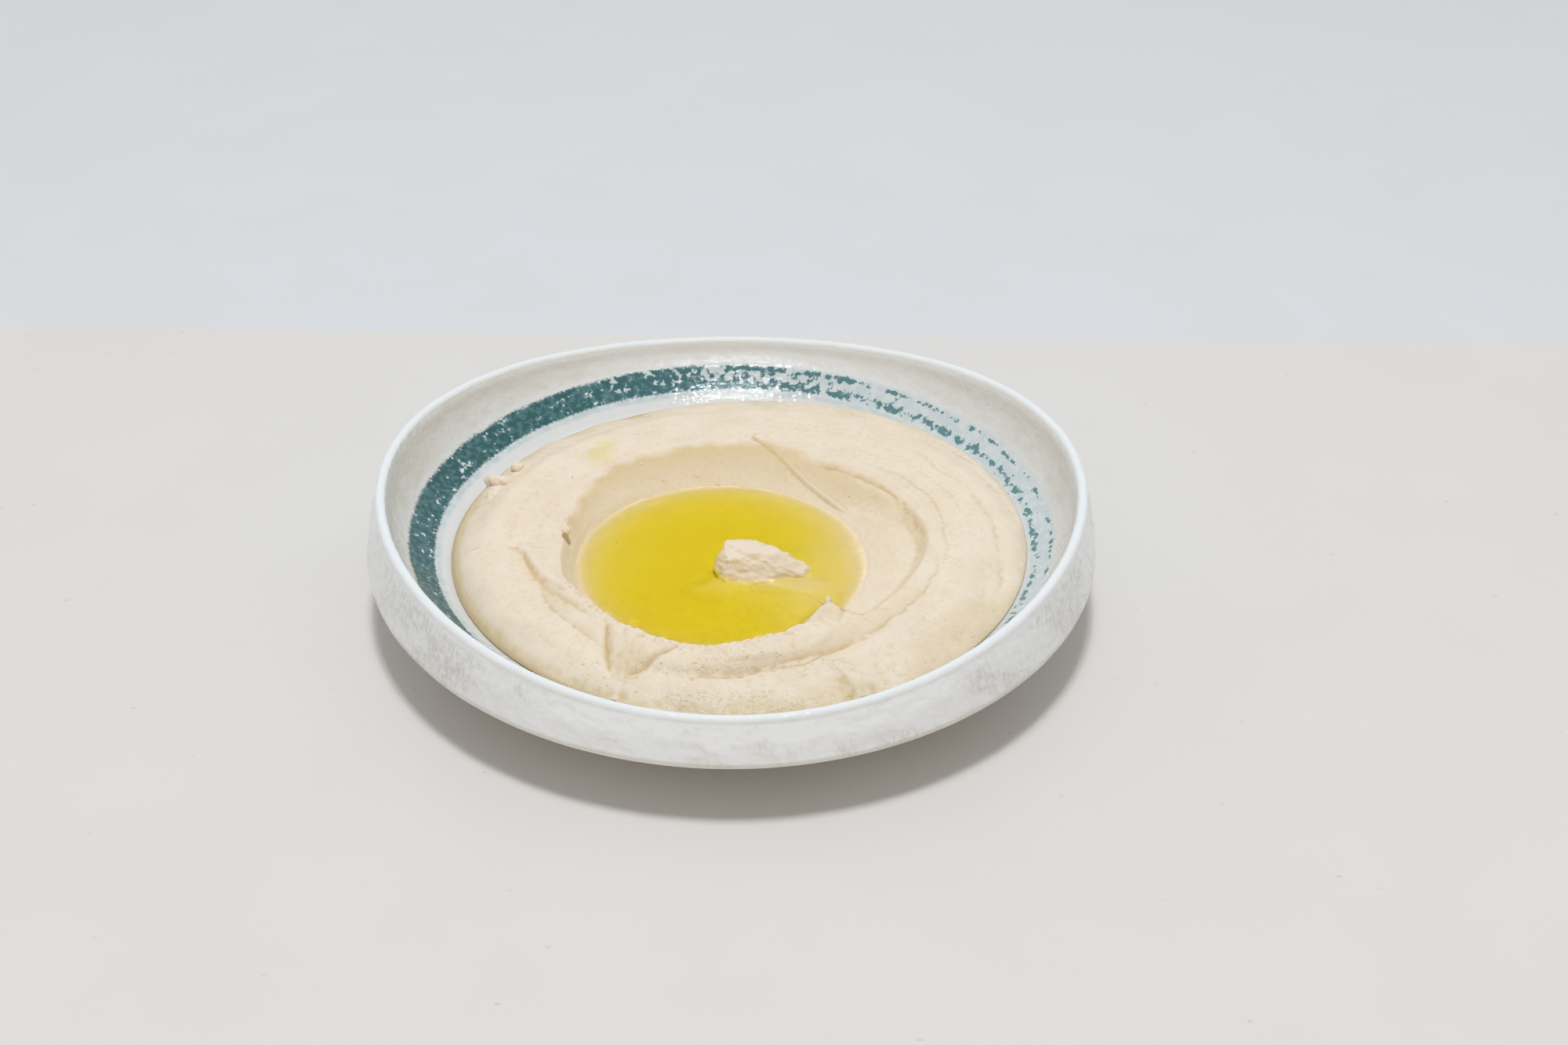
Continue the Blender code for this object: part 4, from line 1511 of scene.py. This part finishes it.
    def patched(self, patches: Sequence[Patch], x: Array, y: Array) -> Array:
        """Works out how far each point is in any of some patches with straying edges.

        Args:
            patches: The patches.
            x: Plan places.
            y: Plan places.

        Returns:
            From 0 to 1.
        """
        noise = self.surface.noise
        wide, fine, small = self.stray_size, self.stray_fine, 0.4 * self.stray
        stray_x = x + self.stray * noise.at(x, y + 0.7, wide) + small * noise.at(y, x, fine)
        stray_y = y + self.stray * noise.at(x + 0.7, y, wide) + small * noise.at(x, y + 0.5, fine)
        result = np.zeros_like(x)
        for patch in patches:
            result = np.maximum(result, patch.share(stray_x, stray_y))
        return result

    def wall_stain_and_shade(self, x: Array, y: Array, heights: Array) -> Array:
        """Works out the oil stain on the wall of the well, drawn darkest just under the crest as painted
        shade, and the damp just above the oil.

        Args:
            x: Plan places.
            y: Plan places.
            heights: The surface's heights.

        Returns:
            From 0 to 1.
        """
        surface = self.surface
        reach, angle = surface.from_well(x, y)
        stray = 0.3 * self.well_stain_edge * surface.noise.at(x, y + 0.9, self.stain_size)
        within = surface.crest.at(angle) - reach
        inside = smooth((within + stray) / self.well_stain_edge + 0.35)
        # Painted shade under the crest: the wall is drawn darkest just below it and lighter towards the oil.
        shade_under_crest = 1.0 - self.crest_shade_fade * smooth(within / surface.wall_width.at(angle))
        near = smooth((surface.oil_level + self.damp_height - heights) / (0.7 * self.damp_height))
        return np.maximum(inside * shade_under_crest * self.well_stain.at(angle), near * self.damp.at(angle))

    def hollows(self, heights: Array) -> Array:
        """Works out how sunk each point is below the points round it.

        Args:
            heights: Heights by ring and sector.

        Returns:
            From 0 on level ground to 1 in a crease.
        """
        around = heights.copy()
        for _ in range(self.hollow_rounds):
            sides = np.roll(around, 1, axis=1) + np.roll(around, -1, axis=1)
            padded = np.pad(around, ((1, 1), (0, 0)), mode="edge")
            around = (2.0 * around + sides + padded[:-2] + padded[2:]) / 6.0
        return np.clip((around - heights) / self.hollow_scale, 0.0, 1.0)

    def build(self, finish: bpy.types.Material) -> None:
        """Builds and dresses the hummus.

        Args:
            finish: Its material.
        """
        surface = self.surface
        x, y, angles = self.grid()
        heights = surface.height(x, y) + surface.relief(x, y)
        # Oil stains, with painted shade along the stain lines and under the crest of the well.
        stain = np.maximum(self.patched(self.stains, x, y), self.wall_stain_and_shade(x, y, heights))
        for line in self.stain_and_shade_lines:
            stain = np.maximum(stain, line.relief(*surface.warped(x, y)))
        looks = {
            "stain": stain,
            "shine": self.patched(self.shines, x, y),
            "film": self.patched(self.films, x, y),
            "sunk": smooth((surface.oil_level + self.sunk_from - heights) / self.sunk_width),
            "hollow": self.hollows(heights),
        }
        rings = [np.stack([x, y, heights], axis=-1)]
        for share in self.under_shares:
            under_x, under_y = surface.along_rays(surface.outline_reach(angles) * share, angles)
            under = surface.inside_height(np.hypot(under_x, under_y)) - self.sink
            rings.append(np.stack([under_x, under_y, under], axis=-1)[None])
        centre = np.array(surface.well_centre)
        first = np.array([*centre, float(surface.height(*centre[:, None])[0])])
        last = np.array([*centre, float(surface.inside_height(np.hypot(*centre))) - self.sink])
        mesh = lofted("spooned_hummus", first, np.concatenate(rings), last)
        spare = np.zeros(len(mesh.vertices) - heights.size)
        for name, values in looks.items():
            store(mesh, name, np.concatenate([values.ravel(), spare]))
        piece = add_piece("spooned_hummus", mesh, finish)
        settle(piece, Slot.HUMMUS, "hummus")


# ---------------------------------------------------------------- the oil and the lump


@dataclass
class OilPool:
    """The oil in the well: level on top, turned up at its shore, and let a little into the hummus."""

    surface: SpoonedSurface
    sectors: int = 420
    rings: int = 40
    sink: float = 0.0005
    rise: float = 0.00003
    rise_width: float = 0.0011

    def build(self, finish: bpy.types.Material) -> None:
        """Builds and dresses the pool.

        Args:
            finish: Its material.
        """
        surface = self.surface
        level = surface.oil_level
        angles = np.linspace(0.0, math.tau, self.sectors, endpoint=False)
        shore = surface.reach_where(angles, level + 1.5 * self.rise)
        shares = 1.0 - (1.0 - shares_to_one(self.rings)) ** 1.7
        reach = shares[:, None] * shore[None, :]
        x, y = surface.along_rays(reach, angles[None, :])
        top = level + self.rise * np.exp(-(shore[None, :] - reach) / self.rise_width)
        bottom = surface.height(x, y) - self.sink
        under = np.stack([x, y, np.minimum(bottom, top - 0.2 * self.sink)], axis=-1)
        over = np.stack([x, y, top], axis=-1)[::-1]
        centre = np.array(surface.well_centre)
        low = float(surface.height(*centre[:, None])[0]) - self.sink
        rings = np.concatenate([under, over])
        mesh = lofted("oil_pool", np.array([*centre, low]), rings, np.array([*centre, level]))
        face_outwards(mesh)
        piece = add_piece("oil_pool", mesh, finish)
        settle(piece, Slot.OIL, "olive_oil")


@dataclass
class Lump:
    """The small lump of hummus that stands in the oil."""

    centre: Point = (0.0095, -0.0150)
    size: tuple[float, float, float] = (0.0296, 0.0215, 0.0186)
    base: float = 0.0060
    foot: float = 0.0118
    roundness: float = 0.66
    taper: float = 0.40
    fall: float = 0.25
    lean: float = 0.32
    draft: float = 0.46
    flare: float = 0.34
    top_shift: float = 0.0030
    damp: float = 0.15
    damp_below: float = 0.0232
    damp_fade: float = 0.0040
    shine: float = 0.4
    cuts: int = 44
    bumps: tuple[Point, ...] = ((0.00045, 0.0056), (0.00048, 0.0026), (0.00028, 0.0012))
    seed: int = 5

    def placed(self, corner: Vector) -> tuple[float, float, float]:
        """Moves a point of the unit cube to its place on the lump.

        The lump is blocky at its left end, and falls away and narrows to the right.

        Args:
            corner: A point of the cube, from -1 to 1 each way.

        Returns:
            Its place.
        """
        along, across, up = corner.lerp(corner.normalized(), self.roundness)
        fall = float(smooth(np.array((along + 0.45) / 1.45)))
        width = (1.0 - self.taper * fall) * (1.0 - self.draft * (up + 1.0) / 2.0)
        height = 1.0 - self.fall * fall
        x = self.centre[0] + self.size[0] / 2.0 * along
        width += self.flare * max(-across, 0.0) * (1.0 - up) / 2.0
        y = self.centre[1] + self.size[1] / 2.0 * (across * width - self.lean * fall)
        y += self.top_shift * (up + 1.0) / 2.0
        return x, y, max(self.foot, self.base + self.size[2] * (up + 1.0) / 2.0 * height)

    def build(self, finish: bpy.types.Material) -> None:
        """Builds and dresses the lump.

        Args:
            finish: Its material.
        """
        form = bmesh.new()
        bmesh.ops.create_cube(form, size=2.0)
        bmesh.ops.subdivide_edges(form, edges=form.edges[:], cuts=self.cuts, use_grid_fill=True)
        for vertex in form.verts:
            vertex.co = self.placed(vertex.co)
        form.normal_update()
        noise = LatticeNoise(self.seed)
        normals = [vertex.normal.copy() for vertex in form.verts]
        for vertex, normal in zip(form.verts, normals):
            x, y, z = vertex.co
            vertex.co += normal * bumped(noise, self.bumps, x + 0.4 * z, y + 0.9 * z)
        mesh = smooth_mesh("hummus_dollop", form)
        heights = np.array([vertex.co.z for vertex in mesh.vertices])
        damp = self.damp * smooth((self.damp_below - heights) / self.damp_fade)
        looks = dict.fromkeys(LOOKS, 0.0) | {"stain": damp, "shine": self.shine}
        for name, values in looks.items():
            store(mesh, name, values + 0.0 * heights)
        piece = add_piece("hummus_dollop", mesh, finish)
        settle(piece, Slot.HUMMUS, "hummus_lump")


@dataclass(frozen=True)
class Dab:
    """A small rough bit of hummus: its middle, its half sizes and its turn about Z."""

    middle: tuple[float, float, float]
    radii: tuple[float, float, float]
    turn: float = 0.0


@dataclass
class Dabs:
    """The crumbly bits that stand out from the hummus's edges."""

    dabs: tuple[Dab, ...] = (
        Dab((-0.0724, 0.0262, 0.0216), (0.0020, 0.0016, 0.0021)),
        Dab((-0.0694, 0.0246, 0.0224), (0.0036, 0.0019, 0.0017), -12.0),
        Dab((-0.0716, 0.0184, 0.0204), (0.0018, 0.0024, 0.0018), 10.0),
        Dab((-0.0655, 0.0345, 0.0212), (0.0024, 0.0015, 0.0013), 25.0),
        Dab((-0.0482, -0.0046, 0.0243), (0.0012, 0.0019, 0.0009), 8.0),
        Dab((0.0266, -0.0345, 0.0190), (0.0006, 0.0015, 0.0019), -20.0),
    )
    detail: int = 4
    bumps: tuple[Point, ...] = ((0.00050, 0.0017), (0.00022, 0.0007))
    seed: int = 23

    def build(self, finish: bpy.types.Material) -> None:
        """Builds and dresses the bits as one piece.

        Args:
            finish: Their material.
        """
        noise = LatticeNoise(self.seed)
        form = bmesh.new()
        for dab in self.dabs:
            turn = Matrix.Rotation(math.radians(dab.turn), 4, "Z")
            place = Matrix.Translation(dab.middle) @ turn @ Matrix.Diagonal((*dab.radii, 1.0))
            ball = bmesh.ops.create_icosphere(form, subdivisions=self.detail, radius=1.0)["verts"]
            for vertex in ball:
                out = vertex.co.copy()
                x, y, z = place @ out
                push = bumped(noise, self.bumps, x + 0.6 * z, y - 0.6 * z)
                vertex.co = place @ out + turn @ out * push
        mesh = smooth_mesh("hummus_dabs", form)
        for name in LOOKS:
            store(mesh, name, np.zeros(len(mesh.vertices)))
        piece = add_piece("hummus_dabs", mesh, finish)
        settle(piece, Slot.HUMMUS)


@dataclass
class Droplets:
    """Small flat drops of oil on the hummus, all made from one bead."""

    surface: SpoonedSurface
    large: tuple[tuple[float, float, float], ...] = (
        (-0.0277, 0.0332, 0.0008), (-0.0212, 0.0288, 0.0006), (-0.0160, 0.0286, 0.0005),
        (-0.0108, 0.0316, 0.0008), (-0.0082, 0.0274, 0.0006), (-0.0046, 0.0293, 0.0008),
        (0.0004, 0.0300, 0.0005), (0.0040, -0.0215, 0.0005),
    )
    fields: tuple[tuple[Patch, int], ...] = (
        (Patch((-0.002, -0.0830), (0.030, 0.0055)), 260),
        (Patch((0.002, -0.0690), (0.032, 0.0040)), 130),
        (Patch((0.050, -0.0600), (0.022, 0.0100), 42.0), 60),
        (Patch((-0.036, -0.0720), (0.018, 0.0070), -25.0), 50),
    )
    smallest: float = 0.00016
    largest: float = 0.00050
    flatness: float = 0.24
    segments: int = 8
    rings: int = 5
    slope_step: float = 0.0003
    seed: int = 31

    def scattered(self) -> tuple[Array, Array]:
        """Chooses where the drops sit.

        Returns:
            Plan places, one row each, and radii.
        """
        draw = np.random.default_rng(self.seed)
        places, radii = [drop[:2] for drop in self.large], [drop[2] for drop in self.large]
        for patch, count in self.fields:
            turn = math.radians(patch.turn)
            reach, angle = np.sqrt(draw.uniform(0.0, 1.0, count)), draw.uniform(0.0, math.tau, count)
            along, across = patch.radii[0] * reach * np.cos(angle), patch.radii[1] * reach * np.sin(angle)
            x = patch.centre[0] + along * math.cos(turn) - across * math.sin(turn)
            y = patch.centre[1] + along * math.sin(turn) + across * math.cos(turn)
            places.extend(zip(x, y))
            radii.extend(self.smallest + (self.largest - self.smallest) * draw.uniform(0.0, 1.0, count) ** 2)
        return np.array(places), np.array(radii)

    def rule(self, material: bpy.types.Material) -> Rule:
        """Makes the tree that sets a flat bead on each point.

        Args:
            material: The finish.

        Returns:
            The tree.
        """
        rule = Rule("oil_droplets", Segments=self.segments, Rings=self.rings, Flatness=self.flatness)
        sockets = {"Segments": rule.given("Segments"), "Rings": rule.given("Rings"), "Radius": 1.0}
        bead = rule.wire("GeometryNodeMeshUVSphere", {}, sockets, "Mesh")
        soft = rule.wire("GeometryNodeSetShadeSmooth", {}, {0: bead})
        flat = rule.combined(1.0, 1.0, rule.given("Flatness"))
        slope = rule.stored("slope", "FLOAT_VECTOR")
        upright = rule.wire("FunctionNodeAlignRotationToVector", {"axis": "Z"}, {"Vector": slope})
        sockets = {"Points": rule.given("Geometry"), "Instance": soft, "Rotation": upright,
                   "Scale": flat.scaled(rule.stored("size"))}
        rule.finish(rule.wire("GeometryNodeInstanceOnPoints", {}, sockets), material)
        return rule

    def build(self, finish: bpy.types.Material) -> None:
        """Builds and dresses the drops.

        Args:
            finish: Their material.
        """
        places, radii = self.scattered()
        x, y = places[:, 0], places[:, 1]
        step = self.slope_step

        def top(x: Array, y: Array) -> Array:
            """Gives the height of the hummus with its relief."""
            return self.surface.height(x, y) + self.surface.relief(x, y)

        height = top(x, y)
        slope = np.stack([(height - top(x + step, y)) / step, (height - top(x, y + step)) / step,
                          np.ones_like(x)], axis=-1)
        mesh = bpy.data.meshes.new("oil_drop_places")
        mesh.from_pydata(np.stack([x, y, height], axis=-1).tolist(), [], [])
        store(mesh, "size", radii)
        attribute = mesh.attributes.new("slope", "FLOAT_VECTOR", "POINT")
        attribute.data.foreach_set("vector", slope.astype(np.float32).ravel())
        piece = self.rule(finish).run("oil_droplets", mesh)
        settle(piece, Slot.OIL)


# ---------------------------------------------------------------- the studio


@dataclass
class Studio:
    """The worktop, the backdrop, the light and the camera."""

    floor_size: float = 12.0
    backdrop_from: float = 0.158
    backdrop_turn: float = -1.4
    worktop: PlainStone = PlainStone("worktop", display(226, 223, 219))
    backdrop: PlainStone = PlainStone("backdrop", display(222, 223, 226), flecked=0.0)
    lamp_height: float = 2.2
    lamp_columns: tuple[float, ...] = (-0.20, -0.04, 0.17)
    lamp_rows: tuple[Point, ...] = ((-0.36, 0.8), (-0.04, 1.7))
    lamp_size: float = 0.05
    lamp_tint: Colour = (0.96, 1.0, 1.04)
    soft_size: float = 0.3
    soft_power: float = 18.4
    soft_shift: float = -0.22
    sky_above: Colour = (0.46, 0.475, 0.49)
    sky_behind: Colour = (0.58, 0.60, 0.62)
    sky_front_low: Colour = (1.10, 1.00, 0.86)
    sky_front: Colour = (0.34, 0.26, 0.17)
    focal_length: float = 50.0
    sensor: float = 36.0
    camera_place: tuple[float, float, float] = (0.0, -0.530, 0.370)
    camera_pitch: float = 33.17
    camera_yaw: float = 1.61
    camera_roll: float = 0.76

    def floor(self) -> None:
        """Lays the worktop and, behind it, the backdrop."""
        half = self.floor_size / 2.0
        tilt = math.tan(math.radians(self.backdrop_turn))
        edge = [(-half, self.backdrop_from - half * tilt), (half, self.backdrop_from + half * tilt)]
        for stone, far, sign in ((self.worktop, -half, 1), (self.backdrop, half, -1)):
            corners = [(*edge[0], 0.0), (*edge[1], 0.0), (half, far, 0.0), (-half, far, 0.0)]
            mesh = mesh_from(stone.name, np.array(corners), [(3, 2, 1, 0) if sign > 0 else (0, 1, 2, 3)])
            add_piece(stone.name, mesh, stone.make())

    def lamp(self, name: str, place: Sequence[float], size: float, power: float) -> bpy.types.Object:
        """Hangs a round lamp that points at the bowl.

        Args:
            name: The lamp's name.
            place: Where it hangs.
            size: Its diameter.
            power: Its power in watts.

        Returns:
            The lamp.
        """
        data = bpy.data.lights.new(name, "AREA")
        data.shape = "DISK"
        data.size = size
        data.energy = power
        data.color = self.lamp_tint
        lamp = bpy.data.objects.new(name, data)
        lamp.location = place
        lamp.rotation_euler = (-Vector(place)).to_track_quat("-Z", "Y").to_euler()
        bpy.context.scene.collection.objects.link(lamp)
        return lamp

    def room(self) -> bpy.types.World:
        """Makes the pale room: even behind and above, warmer and brightest low down in front.

        Returns:
            The world.
        """
        world = bpy.data.worlds.new("pale_room")
        world.use_nodes = True
        room = Tree(world.node_tree)
        way = room.wire("ShaderNodeTexCoord", {}, {}, "Generated")
        height, back = way.part("Z"), way.part("Y")

        def blend(share: Wire, a: Wire | Colour, b: Wire | Colour) -> Wire:
            """Mixes two colours of the room."""
            sockets = {"Factor": share, 6: a, 7: b}
            return room.wire("ShaderNodeMix", {"data_type": "RGBA"}, sockets, 2)

        front = blend(height.steps(0.10, 0.32), self.sky_front_low, self.sky_front)
        around = blend(back.steps(-0.45, 0.15), front, self.sky_behind)
        colour = blend(height.steps(0.55, 0.90), around, self.sky_above)
        room.nodes.links.new(colour.socket, room.nodes.nodes["Background"].inputs["Color"])
        return world

    def light(self) -> None:
        """Lights the bowl: small spots that glint in the glaze, a soft lamp overhead, and the room."""
        for row, (y, power) in enumerate(self.lamp_rows, 1):
            for column, x in enumerate(self.lamp_columns, 1):
                self.lamp(f"spot_{row}_{column}", (x, y, self.lamp_height), self.lamp_size, power)
        overhead = (0.0, self.soft_shift, self.lamp_height)
        soft = self.lamp("overhead", overhead, self.soft_size, self.soft_power)
        soft.visible_glossy = False
        bpy.context.scene.world = self.room()

    def camera(self) -> None:
        """Places the camera in front of the bowl, looking down at it."""
        pitch, yaw, roll = (math.radians(v) for v in (self.camera_pitch, self.camera_yaw, self.camera_roll))
        ahead = Vector((math.sin(yaw) * math.cos(pitch), math.cos(yaw) * math.cos(pitch), -math.sin(pitch)))
        level = Vector((math.cos(yaw), -math.sin(yaw), 0.0))
        upright = level.cross(ahead)
        right = math.cos(roll) * level + math.sin(roll) * upright
        up = math.cos(roll) * upright - math.sin(roll) * level
        data = bpy.data.cameras.new("camera")
        data.lens = self.focal_length
        data.sensor_width = self.sensor
        camera = bpy.data.objects.new("camera", data)
        bpy.context.scene.collection.objects.link(camera)
        turned = Matrix((right, up, -ahead)).transposed().to_4x4()
        camera.matrix_world = Matrix.Translation(self.camera_place) @ turned
        bpy.context.scene.camera = camera

    def build(self) -> None:
        """Sets the whole studio up."""
        self.floor()
        self.light()
        self.camera()
        bpy.context.scene.view_settings.view_transform = "Standard"


def main() -> None:
    """Builds the studio, the bowl, the hummus, the oil and the lump."""
    logging.basicConfig(level=logging.INFO, format="%(name)s: %(message)s")
    Studio().build()
    bowl = Bowl()
    bowl.build()
    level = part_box("olive_oil")[1].z
    surface = SpoonedSurface(spline(bowl.inside, 12), level)
    paste, oil = HummusPaste().make(), OliveOil().make()
    Hummus(surface).build(paste)
    OilPool(surface).build(oil)
    Lump().build(paste)
    Dabs().build(paste)
    Droplets(surface).build(OilFilm().make())


if __name__ == "__main__":
    main()
